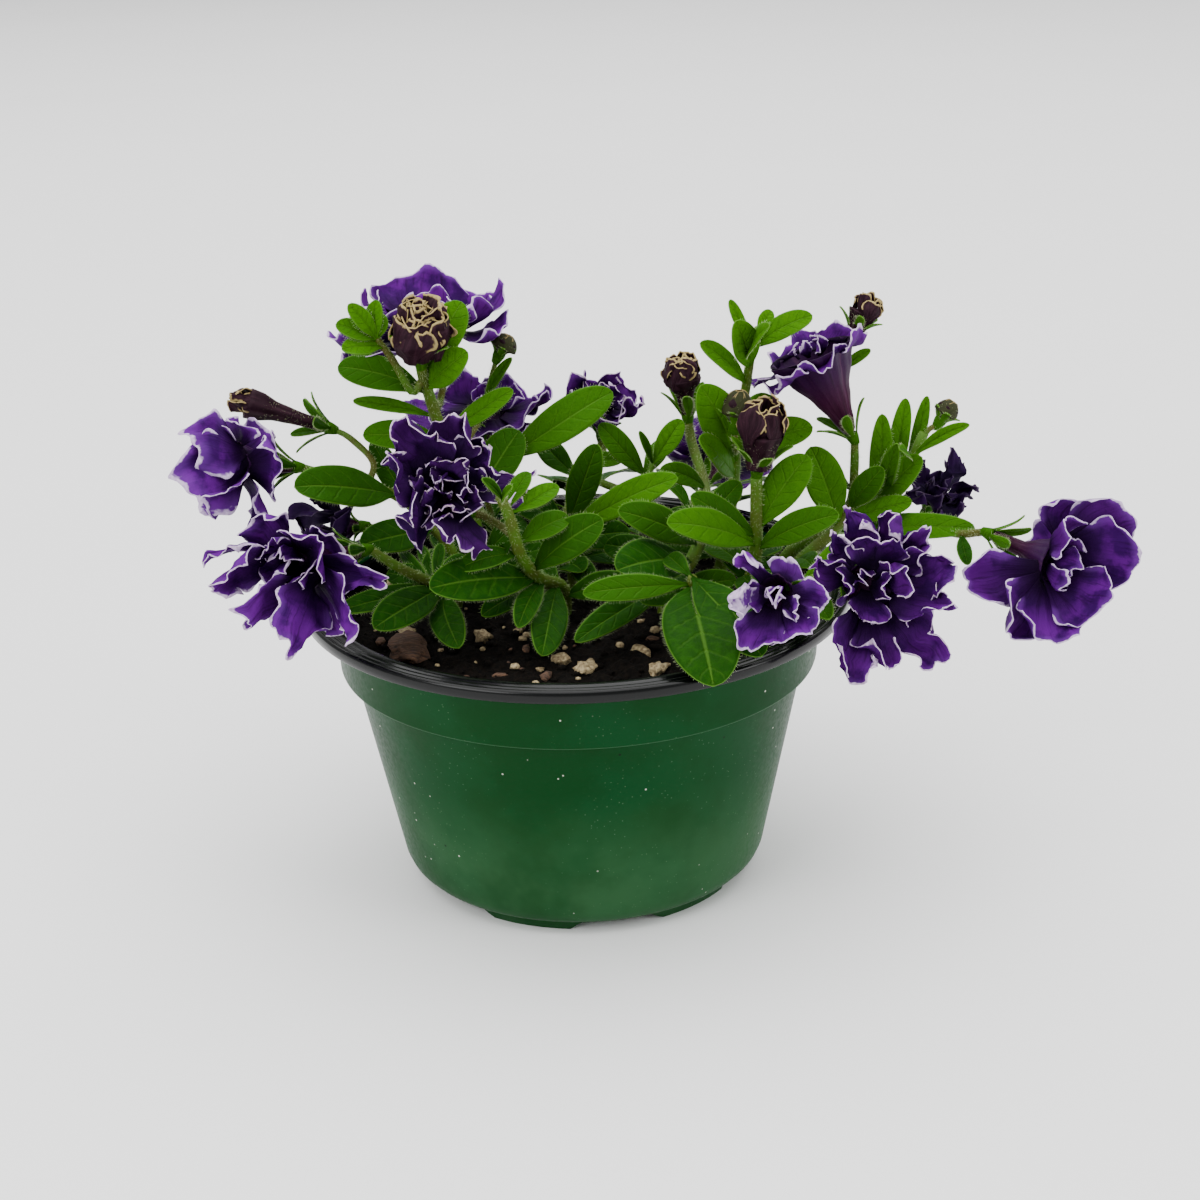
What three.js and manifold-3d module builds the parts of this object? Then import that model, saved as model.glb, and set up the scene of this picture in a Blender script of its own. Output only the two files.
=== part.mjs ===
// Potted double petunia in a shallow nursery pan, in millimetres with +Z up.
// The origin is the middle of the pan's underside. -Y is the front of the plant.
import * as THREE from 'three';
import Module from 'manifold-3d';
import { ParametricGeometry } from 'three/addons/geometries/ParametricGeometry.js';
import { mergeVertices, mergeGeometries } from 'three/addons/utils/BufferGeometryUtils.js';

// Driving dimensions of the pan
const PAN_SIDES = 32;
const WALL = 1.2;
const LIP_RADIUS = 101.5;
const LIP_INNER_RADIUS = 92;
const LIP_TOP = 112;
const LIP_SKIRT_BOTTOM = 107.7;
const BAND_TOP_RADIUS = 90.6;
const BAND_BOTTOM_RADIUS = 89;
const SHOULDER_HEIGHT = 85;
const WALL_BASE_RADIUS = 69.4;
const WALL_BASE_HEIGHT = 10;
const WALL_TAPER = 0.2014;
const FOOT_RADIUS = 62.4;
const FOOT_WIDTH = 4.6;
const FOOT_HEIGHT = 3.6;
const CENTRE_PAD_RADIUS = 15;
const NOTCHES = 6;
const NOTCH_FIRST_DEGREES = -79;
const NOTCH_WIDTH_DEGREES = 27;
const DRAIN_RADIUS = 4;
const DRAIN_CIRCLE_RADIUS = 42;

// Driving dimensions of the potting mix
const GAP = 0.3;
const SOIL_SIDES = 26;
const SOIL_TOP = 101;
const SOIL_CROWN = 2;
const SOIL_ROUGHNESS = 1.3;
const LUMPS = [
  // x, y, length, width, height of each lump of perlite or bark, in millimetres
  [-60, -40, 26, 13, 6], [-62, -22, 7, 6, 4], [-34, -32, 8, 6, 5], [-6, -52, 7, 6, 4], [3, -60, 9, 7, 5],
  [22, -46, 8, 5, 4], [28, -62, 8, 6, 5], [-70, 28, 8, 6, 5], [60, 52, 8, 6, 4],
];

// Driving dimensions of the plant
const STEM_SIDES = 5;
const BLADE_THICKNESS = 1.1;
const PETAL_THICKNESS = 1;
const LEAF_STACKS = 4;
// Rows of a leaf stand closer together towards its rounded tip
const LEAF_ROW_POWER = 0.75;
const SMALL_LEAF_WIDTH = 11;
const SMALL_PETAL_WIDTH = 15;
const LEAF_FOLD = 0.16;
// Low leaves around the foot of a stem; the first grows this far along the path's first stretch
const LOW_LEAF_START = 0.7;
const LOW_LEAF_STEP = 0.12;
const LOW_LEAF_LENGTH = 19;
const LOW_LEAF_WIDTH = 9.5;
const LOW_LEAF_RISE = 5;
const SEPALS = 5;
const SEPAL_LENGTH = 15;
const SEPAL_SPREAD_DEGREES = 40;
const CUP_LENGTH = 3.4;
const CUP_RADIUS = 2.5;
const INNER_PETALS = 3;
const RUFFLE = 2.6;
const GOLDEN_TURN = 2.4;
const FULL_TURN = 2 * Math.PI;

// Leafy stems. A path is a smooth line of points from the root up. A leaf is its place along
// the path from 0 to 1, then the x, y, z of its tip, its width and the rise of its arch. The low
// leaves at its foot are given by their count and the compass turn of the first, in degrees.
const STEMS = [
  {
    name: 'stem_left_top', radius: [2.8, 1.9], low: [4, 348],
    path: [[-32, 18, 92], [-35, 14, 116], [-41, 10, 149], [-48, 6, 171], [-52, 1, 189], [-53, -3, 196]],
    leaves: [
      [0.74, -83, 2, 196, 12, 2], [0.77, -36, -6, 202, 11, 3], [0.84, -38, 7, 217, 13, 3],
      [0.64, -79, 6, 182, 5, 1], [0.54, -75, -4, 172, 11, 2], [0.57, -21, 4, 185, 8, 2],
      [0.34, -20, 22, 164, 15, 3], [0.28, -56, 30, 127, 12, 3],
    ],
    branches: [
      {
        from: 0.84, radius: [1.7, 1.2], path: [[-57, -1, 187], [-63, -4, 200], [-68, -6, 208]],
        leaves: [
          [1, -81, -12, 215, 7, 1], [1, -76, -12, 222, 6, 1], [1, -67, -7, 222, 6, 1],
          [1, -66, -3, 216, 6, 1], [0.83, -79, -16, 207, 7, 1],
        ],
      },
      {
        from: 0.7, radius: [1.5, 1.3], path: [[-49, 18, 176], [-47, 31, 183]],
      },
      {
        from: 0.47, radius: [1.1, 0.9], path: [[-35, 30, 166], [-31, 37, 178], [-28, 38, 187]],
        leaves: [
          [0.45, -22, 30, 190, 4, 1],
        ],
      },
      {
        from: 0.38, radius: [1.2, 1.0], path: [[-35, 17, 145], [-27, 24, 152]],
        leaves: [
          [1, 15, 26, 177, 15, 4],
        ],
      },
    ],
  },
  {
    name: 'stem_far_left', radius: [2.3, 1.5], low: [3, 331],
    path: [[-46, 4, 92], [-45, 4, 120], [-55, 4, 136], [-66, 2, 147], [-83, -3, 155], [-98, -6, 161]],
    leaves: [
      [0.59, -97, -30, 162, 16, 4], [0.41, -74, 14, 164, 9, 2], [0.35, -77, -18, 135, 13, 2],
    ],
    branches: [
      {
        from: 0.71, radius: [1.3, 1.1], path: [[-73, 4, 159], [-81, 8, 167], [-87, 10, 170]],
      },
      {
        from: 0.45, radius: [1.2, 1.1], path: [[-66, 10, 133], [-73, 14, 130], [-78, 14, 131]],
      },
    ],
  },
  {
    name: 'stem_low_left', radius: [2.4, 1.6], low: [2, 32],
    path: [[-44, -14, 92], [-48, -20, 118], [-52, -26, 123], [-62, -32, 131], [-72, -36, 140]],
    leaves: [
      [0.47, -64, -6, 128, 4, 1], [0.47, -57, -4, 129, 4, 1], [0.45, -49, -8, 131, 4, 1],
      [0.45, -41, -12, 128, 5, 1], [0.42, -37, -30, 128, 5, 1], [0.29, -81, -58, 126, 9, 2],
      [0.27, -69, -62, 121, 13, 2], [0.23, -41, -58, 111, 11, 2],
    ],
  },
  {
    name: 'stem_centre_front', radius: [3.0, 1.8], low: [3, 206],
    path: [
      [-6, -8, 92], [-5, -14, 114], [-13, -26, 123], [-19, -36, 136], [-22, -42, 152], [-25, -44, 161],
    ],
    leaves: [
      [0.4, -49, -62, 135, 16, 3], [0.66, -2, -30, 148, 9, 2], [0.47, 10, -34, 148, 13, 3],
      [0.36, -20, -58, 118, 8, 2], [0.26, -12, -62, 109, 12, 2], [0.94, -30, -58, 172, 4, 1],
      [0.6, -40, -50, 137, 8, 2], [0.86, -15, -34, 166, 6, 1], [0.83, -5, -32, 160, 7, 1],
      [0.94, -20, -58, 169, 4, 1], [0.69, -36, -30, 123, 9, 2], [0.3, -33, -46, 118, 9, 2],
    ],
    branches: [
      {
        from: 0.7, radius: [1.4, 1.3], path: [[-26, -32, 146], [-32, -27, 148], [-36, -27, 149]],
      },
    ],
  },
  {
    name: 'stem_centre', radius: [2.8, 1.8], low: [3, 144],
    path: [[2, 14, 92], [-2, 14, 115], [-2, 16, 134], [4, 28, 146], [10, 56, 141], [11, 66, 145]],
    leaves: [
      [0.34, 9, 2, 164, 11, 2], [0.32, 37, -14, 156, 12, 4], [0.54, -13, 36, 156, 9, 2],
      [0.26, -25, 24, 117, 11, 3], [0.65, 18, 22, 151, 6, 2], [0.22, 6, -8, 111, 8, 2],
      [0.2, 21, 30, 113, 11, 3], [0.42, 32, 34, 128, 10, 3], [0.28, -24, 44, 131, 12, 3],
      [0.26, 20, 10, 127, 11, 3], [0.5, -4, 46, 133, 11, 3],
    ],
    branches: [
      {
        from: 0.57, radius: [1.6, 1.1], path: [[18, 22, 140], [27, 26, 143], [30, 28, 148]],
        leaves: [
          [0.67, 10, 24, 165, 9, 2], [0.96, 25, 24, 162, 3, 1], [0.96, 41, 30, 164, 8, 2],
          [0.59, 35, 40, 153, 7, 2],
        ],
      },
    ],
  },
  {
    name: 'stem_right_centre', radius: [2.8, 1.7], low: [2, 1],
    path: [
      [30, -6, 92], [35, -12, 114], [42, -14, 124], [48, -2, 135],
      [49, 20, 141], [45, 36, 153], [44, 40, 160],
    ],
    leaves: [
      [0.4, 16, -34, 151, 12, 3], [0.33, 15, -52, 136, 17, 3], [0.2, 0, -62, 114, 10, 2],
      [0.5, 61, 2, 148, 9, 2], [0.65, 32, 8, 152, 8, 2], [0.28, 11, 6, 124, 11, 3],
    ],
  },
  {
    name: 'stem_front_right', radius: [2.4, 1.6], low: [1, 94],
    path: [[38, -36, 92], [38, -40, 119], [40, -44, 125], [41, -46, 130]],
    leaves: [
      [0.72, 45, -98, 112, 24, 6], [1, 62, -84, 116, 16, 5], [0.78, 3, -66, 133, 9, 2],
      [0.5, 22, -50, 124, 8, 2], [1, 33, -30, 132, 7, 2],
    ],
  },
  {
    name: 'stem_right_front', radius: [2.6, 2.2], low: [2, 330],
    path: [[58, 0, 92], [64, -6, 113], [66, -8, 125], [66, -9, 141], [66, -10, 154]],
    leaves: [
      [0.53, 33, -42, 149, 13, 3], [0.59, 42, -20, 151, 10, 2], [0.62, 85, -2, 159, 13, 3],
      [0.5, 94, -24, 144, 11, 3], [0.32, 75, -50, 123, 9, 2], [0.4, 74, 12, 121, 9, 2],
      [0.3, 50, 22, 118, 10, 3],
    ],
  },
  {
    name: 'stem_top_right', radius: [2.6, 1.4], low: [3, 175],
    path: [
      [52, 24, 92], [57, 22, 119], [60, 19, 145], [61, 20, 161], [64, 18, 178], [66, 12, 196], [68, 9, 204],
    ],
    leaves: [
      [0.37, 47, 2, 185, 15, 3], [0.33, 46, -4, 167, 11, 2], [0.41, 88, 10, 166, 12, 3],
      [0.69, 47, 2, 201, 8, 2], [0.75, 59, -8, 211, 10, 2], [0.78, 70, -12, 210, 8, 2],
      [0.82, 87, 6, 209, 9, 2], [0.86, 58, 12, 214, 4, 1], [0.95, 73, 14, 209, 5, 1],
      [0.54, 76, 30, 171, 9, 2], [0.2, 32, 18, 128, 11, 3],
    ],
    branches: [
      {
        from: 0.42, radius: [1.2, 1.1], path: [[60, 9, 159], [59, 5, 167]],
      },
    ],
  },
  {
    name: 'stem_right', radius: [2.6, 1.5], low: [2, 143],
    path: [[68, 16, 92], [85, 16, 112], [98, 18, 123], [104, 19, 134], [105, 20, 146], [105, 20, 157]],
    leaves: [
      [0.42, 88, 14, 157, 14, 3], [0.55, 114, 9, 150, 9, 2], [0.46, 125, 8, 137, 8, 2],
      [0.66, 88, 34, 142, 8, 2],
    ],
    branches: [
      {
        from: 0.96, radius: [1.3, 1.0], path: [[104, 34, 160], [101, 44, 173], [106, 45, 190]],
        leaves: [
          [0.75, 113, 42, 186, 4, 1],
        ],
      },
    ],
  },
  {
    name: 'stem_far_right', radius: [2.8, 1.8], low: [1, 127],
    path: [[76, 26, 92], [79, 27, 107], [90, 28, 117], [106, 29, 122], [120, 30, 130], [132, 28, 157]],
    leaves: [
      [0.57, 129, 14, 152, 12, 2], [0.71, 115, 20, 167, 8, 2], [0.77, 118, 2, 161, 6, 1],
      [0.83, 125, 30, 170, 7, 2], [0.88, 134, 36, 169, 5, 1], [0.92, 119, 0, 160, 5, 1],
      [0.93, 145, 8, 166, 5, 1], [0.48, 146, -6, 131, 10, 3],
    ],
    branches: [
      {
        from: 0.99, radius: [1.0, 1.0], path: [[134, 29, 158], [137, 30, 159]],
      },
      {
        from: 0.50, radius: [1.7, 1.4], path: [[128, 12, 126], [140, -4, 128], [149, -11, 131]],
        leaves: [
          [0.72, 142, -18, 121, 5, 1],
        ],
      },
      {
        from: 0.45, radius: [1.3, 1.2], path: [[128, 40, 115], [135, 44, 117]],
      },
    ],
  },
  {
    name: 'stem_back_left', radius: [2.6, 1.6], low: [3, 20],
    path: [[-26, 46, 92], [-30, 52, 108], [-38, 66, 117], [-46, 80, 120]],
    leaves: [
      [0.4, -62, 66, 124, 12, 3], [0.5, -22, 80, 122, 12, 3], [0.7, -78, 84, 120, 13, 4],
      [0.3, -46, 34, 120, 10, 2], [0.8, -26, 100, 119, 12, 4],
    ],
    branches: [
      {
        from: 0.4, radius: [1.3, 1.1], path: [[-35, 55, 128], [-35, 52, 147]],
      },
    ],
  },
  {
    name: 'stem_back', radius: [2.6, 1.5], low: [3, 51],
    path: [[6, 50, 92], [6, 58, 108], [4, 72, 115], [2, 84, 119]],
    leaves: [
      [0.35, -16, 62, 120, 11, 3], [0.45, 32, 70, 121, 12, 3], [0.65, -14, 104, 119, 13, 3],
      [0.8, 26, 104, 120, 13, 4], [1, 4, 120, 116, 12, 4], [0.25, 14, 40, 118, 9, 2],
    ],
  },
  {
    name: 'stem_back_right', radius: [2.6, 1.6], low: [3, 82],
    path: [[40, 46, 92], [43, 52, 108], [47, 66, 117], [52, 80, 120]],
    leaves: [
      [0.4, 76, 58, 124, 12, 3], [0.55, 28, 86, 126, 10, 3], [0.7, 86, 80, 121, 13, 4],
      [0.2, 60, 34, 120, 10, 2], [0.85, 34, 100, 121, 10, 2],
    ],
  },
  {
    name: 'stem_low_right', radius: [2.3, 1.5], low: [2, 110],
    path: [[62, -20, 92], [71, -28, 113], [81, -34, 122], [92, -42, 130]],
    leaves: [
      [0.49, 86, -70, 123, 9, 2], [0.6, 110, -20, 132, 12, 3], [0.8, 116, -28, 112, 11, 3],
    ],
    branches: [
      {
        from: 0.85, radius: [1.3, 1.2], path: [[79, -48, 125], [74, -62, 132]],
      },
    ],
  },
];

// Blooms. Each runs from its calyx to its throat and opens along its face. A lobe is the x, y, z
// of its tip, its width and the depth of its cup. A funnel is its radius half way and at its mouth.
const BLOOMS = [
  {
    name: 'bloom_left_top', stem: 'stem_left_top', calyx: [-47, 31, 183], throat: [-51, 33, 200],
    face: [-0.05, 0.25, 0.97],
    lobes: [
      [-87, 22, 202, 26, 4], [-79, 8, 195, 16, 3], [-59, 13, 210, 28, 3], [-23, 34, 203, 25, 4],
      [-32, 58, 212, 24, 5], [-54, 62, 217, 26, 5], [-76, 54, 217, 24, 4],
    ],
  },
  {
    name: 'bloom_back_left', stem: 'stem_back_left', calyx: [-35, 52, 147], throat: [-33, 60, 161],
    face: [0.1, -0.25, 0.96],
    lobes: [
      [-9, 52, 168, 22, 3], [-21, 72, 167, 20, 3], [-42, 72, 172, 20, 3], [-66, 66, 161, 22, 3],
      [-51, 40, 162, 20, 3], [-24, 38, 159, 20, 3],
    ],
  },
  {
    name: 'bloom_left', stem: 'stem_far_left', calyx: [-98, -6, 161], throat: [-119, -14, 166],
    face: [-0.78, -0.6, 0.1],
    lobes: [
      [-132, -32, 181, 20, 3], [-134, -40, 168, 22, 3], [-126, -40, 159, 16, 2],
      [-111, -26, 147, 11, 2], [-102, -32, 166, 18, 4], [-107, -10, 177, 18, 3],
      [-121, -12, 182, 18, 3],
    ],
  },
  {
    name: 'bloom_low_left', stem: 'stem_low_left', calyx: [-72, -36, 140], throat: [-95, -50, 141],
    face: [-0.5, -0.8, -0.15],
    lobes: [
      [-112, -48, 155, 20, 3], [-125, -58, 147, 18, 3], [-123, -66, 140, 18, 3],
      [-113, -74, 130, 18, 3], [-95, -82, 122, 20, 3], [-74, -84, 126, 18, 3], [-64, -74, 142, 12, 2],
      [-80, -50, 148, 20, 3],
    ],
  },
  {
    name: 'bloom_centre', stem: 'stem_centre_front', calyx: [-36, -27, 149], throat: [-43, -38, 161],
    face: [-0.05, -0.85, 0.5],
    lobes: [
      [-64, -48, 176, 18, 3], [-56, -40, 187, 20, 3], [-43, -34, 187, 20, 3], [-30, -34, 178, 18, 3],
      [-17, -32, 160, 15, 1], [-35, -58, 145, 20, 3], [-56, -58, 157, 22, 3],
    ],
  },
  {
    name: 'bloom_back', stem: 'stem_centre', calyx: [11, 66, 145], throat: [11, 74, 156],
    face: [0.05, -0.25, 0.96],
    lobes: [
      [28, 68, 159, 14, 3], [22, 84, 164, 14, 3], [7, 86, 166, 14, 3], [-5, 78, 161, 14, 3],
      [1, 60, 159, 14, 3], [18, 60, 158, 13, 3],
    ],
  },
  {
    name: 'bloom_right_top', stem: 'stem_right', calyx: [105, 20, 157], throat: [88, 22, 191],
    face: [-0.34, 0.1, 0.93], funnel: [6, 14],
    lobes: [
      [65, 24, 180, 17, 3], [75, 4, 183, 16, 3], [92, 3, 194, 16, 3], [107, 15, 200, 17, 3],
      [102, 36, 197, 17, 3], [82, 43, 190, 17, 3],
    ],
  },
  {
    name: 'bloom_right_front', stem: 'stem_low_right', calyx: [92, -42, 130], throat: [101, -58, 130],
    face: [0.15, -0.97, 0.1],
    lobes: [
      [95, -54, 157, 14, 3], [108, -54, 155, 14, 3], [121, -60, 150, 20, 3], [130, -66, 138, 22, 3],
      [127, -72, 126, 20, 3], [124, -76, 110, 20, 3], [106, -80, 110, 20, 3], [92, -80, 107, 18, 3],
      [79, -64, 141, 14, 2], [87, -60, 149, 14, 3],
    ],
  },
  {
    name: 'bloom_small_front', stem: 'stem_low_right', calyx: [74, -62, 132], throat: [67, -78, 136],
    face: [-0.3, -0.93, 0.2],
    lobes: [
      [54, -84, 152, 10, 2], [51, -92, 137, 12, 2], [58, -96, 124, 18, 3], [73, -92, 125, 18, 3],
      [84, -84, 135, 12, 2], [72, -76, 147, 12, 2],
    ],
  },
  {
    name: 'bloom_far_right', stem: 'stem_far_right', calyx: [149, -11, 131], throat: [171, -26, 124],
    face: [0.75, -0.6, -0.1],
    lobes: [
      [182, -20, 145, 22, 3], [198, -26, 142, 20, 3], [199, -38, 130, 20, 3], [186, -48, 116, 20, 3],
      [169, -50, 104, 20, 3], [152, -48, 106, 18, 3], [137, -42, 123, 16, 4], [168, -14, 133, 18, 3],
    ],
  },
  {
    name: 'bloom_right_back', stem: 'stem_far_right', calyx: [135, 44, 117], throat: [140, 46, 125],
    face: [0.3, -0.3, 0.9],
    lobes: [
      [128, 42, 131, 8, 2], [139, 54, 134, 8, 2], [151, 56, 137, 8, 2], [154, 44, 127, 8, 2],
      [147, 32, 123, 8, 2],
    ],
  },
  {
    name: 'bloom_left_back', stem: 'stem_far_left', calyx: [-78, 14, 131], throat: [-86, 12, 131],
    face: [-0.9, -0.2, 0.1],
    lobes: [
      [-96, 18, 140, 9, 2], [-105, 12, 136, 10, 2], [-103, 6, 127, 10, 2], [-93, 4, 125, 9, 2],
    ],
  },
  {
    name: 'bloom_rear_left', stem: 'stem_back_left', calyx: [-46, 80, 120], throat: [-53, 93, 127],
    face: [-0.2, 0.8, 0.6],
    lobes: [
      [-32, 99, 135, 20, 4], [-45, 86, 148, 20, 4], [-67, 84, 143, 20, 4],
      [-76, 95, 125, 20, 4], [-63, 108, 112, 20, 4], [-41, 110, 117, 20, 4],
    ],
  },
  {
    name: 'bloom_rear_right', stem: 'stem_back_right', calyx: [52, 80, 120], throat: [59, 93, 127],
    face: [0.2, 0.8, 0.6],
    lobes: [
      [81, 88, 135, 20, 4], [63, 83, 148, 20, 4], [42, 92, 143, 20, 4],
      [39, 106, 125, 20, 4], [57, 111, 112, 20, 4], [78, 102, 117, 20, 4],
    ],
  },
];

const BUDS = [
  {
    name: 'bud_far_left', stem: 'stem_far_left',
    calyx: [-87, 10, 170], tip: [-124, 0, 187], radius: 4.6, kind: 'long',
  },
  {
    name: 'bud_left_top', stem: 'stem_left_top',
    calyx: [-53, -3, 196], tip: [-51, -10, 223], radius: 10.5, kind: 'open',
  },
  {
    name: 'bud_centre', stem: 'stem_right_centre',
    calyx: [44, 40, 160], tip: [41, 41, 187], radius: 7.5, kind: 'open',
  },
  {
    name: 'bud_right_front', stem: 'stem_right_front',
    calyx: [66, -10, 154], tip: [69, -12, 185], radius: 9.5, kind: 'open',
  },
  {
    name: 'bud_right_small', stem: 'stem_top_right',
    calyx: [59, 5, 167], tip: [61, 5, 182], radius: 5.2, kind: 'round',
  },
  {
    name: 'bud_right_top', stem: 'stem_right',
    calyx: [106, 45, 190], tip: [114, 46, 206], radius: 6, kind: 'open',
  },
  {
    name: 'bud_far_right', stem: 'stem_far_right',
    calyx: [137, 30, 159], tip: [143, 31, 168], radius: 4, kind: 'round',
  },
  {
    name: 'bud_back_left', stem: 'stem_left_top',
    calyx: [-28, 38, 187], tip: [-23, 39, 196], radius: 4.6, kind: 'round',
  },
];

const wasm = await Module();
wasm.setup();

const up = new THREE.Vector3(0, 0, 1);
const vec = (p) => new THREE.Vector3(p[0], p[1], p[2]);
const radians = THREE.MathUtils.degToRad;

// A repeatable number from 0 to 1 for a pair of whole numbers
function chance(seed, index) {
  const x = Math.sin(seed * 12.9898 + index * 78.233) * 43758.5453;
  return x - Math.floor(x);
}

// Solids

function solid(geometry) {
  const shape = geometry.clone();
  shape.deleteAttribute('normal');
  shape.deleteAttribute('uv');
  const merged = mergeVertices(shape, 1e-3);
  const index = merged.index.array;
  const kept = [];
  for (let i = 0; i < index.length; i += 3) {
    const [a, b, c] = [index[i], index[i + 1], index[i + 2]];
    if (a !== b && b !== c && c !== a) {
      kept.push(a, b, c);
    }
  }
  if (signedVolume(merged.attributes.position, kept) < 0) {
    kept.reverse();
  }
  const vertProperties = new Float32Array(merged.attributes.position.array);
  return new wasm.Manifold(new wasm.Mesh({ numProp: 3, vertProperties, triVerts: new Uint32Array(kept) }));
}

function signedVolume(position, index) {
  const [a, b, c] = [new THREE.Vector3(), new THREE.Vector3(), new THREE.Vector3()];
  let volume = 0;
  for (let i = 0; i < index.length; i += 3) {
    a.fromBufferAttribute(position, index[i]);
    b.fromBufferAttribute(position, index[i + 1]);
    c.fromBufferAttribute(position, index[i + 2]);
    volume += a.dot(b.cross(c)) / 6;
  }
  return volume;
}

function joined(solids) {
  return wasm.Manifold.union(solids);
}

// The largest connected body, without the loose scraps that a cut can leave
function wholeBody(shape) {
  const pieces = shape.decompose();
  pieces.sort((a, b) => b.volume() - a.volume());
  return pieces[0];
}

function toGeometry(shape) {
  const mesh = shape.getMesh();
  const geometry = new THREE.BufferGeometry();
  geometry.setAttribute('position', new THREE.BufferAttribute(mesh.vertProperties, 3));
  geometry.setIndex(new THREE.BufferAttribute(mesh.triVerts, 1));
  return geometry;
}

function named(name, shape, material) {
  const mesh = new THREE.Mesh(toGeometry(wholeBody(shape)), material);
  mesh.name = name;
  return mesh;
}

// A lathe's axis is Y, so its geometry is stood up on +Z
function turned(profile, sides) {
  const points = profile.map(([r, z]) => new THREE.Vector2(r, z));
  return new THREE.LatheGeometry(points, sides).rotateX(Math.PI / 2);
}

// Frames and lines

// An axis with two directions square to it: the first is the one nearest to the given side
function frameOf(axis, side) {
  const along = axis.clone().normalize();
  const normal = side.clone().addScaledVector(along, -side.dot(along)).normalize();
  return { along, normal, across: new THREE.Vector3().crossVectors(along, normal) };
}

// The direction square to a frame's axis at an angle around it
function spoke(frame, angle) {
  return frame.normal.clone().multiplyScalar(Math.cos(angle))
    .addScaledVector(frame.across, Math.sin(angle));
}

// A closed surface around a line: place(angle, t) gives a point, and both ends close on a point
function closedSurface(place, sides, stacks) {
  return new ParametricGeometry((u, v, target) => target.copy(place(u * FULL_TURN, v)), sides, stacks);
}

// The faceted middle line of a stem, which its tube is swept along and its leaves start from
function spineOf(points) {
  return new THREE.CatmullRomCurve3(points, false, 'catmullrom', 0.5).getPoints(points.length);
}

function pointOn(spine, t) {
  const place = Math.min(t, 0.97) * (spine.length - 1);
  const from = Math.floor(place);
  return spine[from].clone().lerp(spine[from + 1], place - from);
}

// A round tube along a spine, with flat ends
function tube(spine, radii) {
  const last = spine.length - 1;
  const side = new THREE.Vector3(0.2, 0.93, -0.3);
  const place = (angle, v) => {
    const ring = Math.round(v * (last + 2));
    const index = THREE.MathUtils.clamp(ring - 1, 0, last);
    const ahead = spine[Math.min(index + 1, last)];
    const frame = frameOf(ahead.clone().sub(spine[Math.max(index - 1, 0)]), side);
    const open = ring === 0 || ring === last + 2 ? 0 : 1;
    const radius = open * THREE.MathUtils.lerp(radii[0], radii[1], index / last);
    return spine[index].clone().addScaledVector(spoke(frame, angle), radius);
  };
  return solid(closedSurface(place, STEM_SIDES, last + 2));
}

// A thin blade: place(u, v) gives the middle surface, with u from base to rim and v across from
// -1 to 1. Both faces are the same net of triangles, and they close on the blade's outline.
function blade(place, normal, slices, stacks, thickness) {
  const face = (side) => new ParametricGeometry((s, t, target) => {
    const column = Math.round(s * slices);
    let row = Math.round(t * stacks);
    const edge = column === 0 || column === slices;
    if (row === stacks && edge) {
      row -= 1;
    }
    const rim = row === 0 || row === stacks || edge;
    target.copy(place(row / stacks, 2 * column / slices - 1));
    target.addScaledVector(normal, rim ? 0 : side * thickness / 2);
  }, slices, stacks);
  const top = face(1);
  const bottom = face(-1);
  const flipped = Array.from(bottom.index.array).reverse();
  bottom.setIndex(flipped);
  return solid(mergeGeometries([top, bottom]));
}

// Leaves

// Half the width of a spoon-shaped leaf at u, as a part of its greatest half width
function leafOutline(u) {
  const widest = 0.6;
  return u < widest
    ? Math.sin(0.5 * Math.PI * u / widest) ** 1.2
    : Math.sqrt(1 - ((u - widest) / (1 - widest)) ** 2.2);
}

function leaf(base, tip, width, arch, face) {
  const frame = frameOf(tip.clone().sub(base), face);
  const place = (row, v) => {
    const u = row ** LEAF_ROW_POWER;
    const half = 0.5 * width * (u === 0 || u === 1 ? 0 : leafOutline(u));
    return base.clone().lerp(tip, u)
      .addScaledVector(frame.normal, arch * 4 * u * (1 - u) + LEAF_FOLD * half * Math.abs(v))
      .addScaledVector(frame.across, half * v);
  };
  const stacks = width < SMALL_LEAF_WIDTH ? LEAF_STACKS - 1 : LEAF_STACKS;
  return blade(place, frame.normal, 2, stacks, BLADE_THICKNESS);
}

// Calyx: a small green cup whose rim runs out into narrow sepals, at the end of its stalk
function calyx(base, axis, length) {
  const frame = frameOf(axis, up);
  const spread = radians(SEPAL_SPREAD_DEGREES);
  const tipOut = CUP_RADIUS + length * Math.sin(spread);
  const tipAlong = CUP_LENGTH - 1 + length * Math.cos(spread);
  // Each ring is its distance out at a sepal, its distance out between sepals, and its two heights
  const rings = [
    [0, 0, -2, -2], [tipOut, CUP_RADIUS, tipAlong, CUP_LENGTH - 1],
    [CUP_RADIUS - 0.3, CUP_RADIUS - 0.4, CUP_LENGTH, CUP_LENGTH], [0, 0, CUP_LENGTH, CUP_LENGTH],
  ];
  const place = (angle, v) => {
    const [outSepal, outValley, alongSepal, alongValley] = rings[Math.round(v * (rings.length - 1))];
    const sepal = Math.round(angle * SEPALS / Math.PI) % 2 === 0;
    return base.clone()
      .addScaledVector(frame.along, sepal ? alongSepal : alongValley)
      .addScaledVector(spoke(frame, angle), sepal ? outSepal : outValley);
  };
  return solid(closedSurface(place, 2 * SEPALS, rings.length - 1));
}

// The matrix that stands a +Z shape on a point along a frame
function basisAt(point, frame) {
  const matrix = new THREE.Matrix4().makeBasis(frame.normal, frame.across, frame.along);
  return matrix.setPosition(point);
}

// Leafy stem: the stem, its side stalks, its leaves and the calyx of each bloom and bud on it

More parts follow.
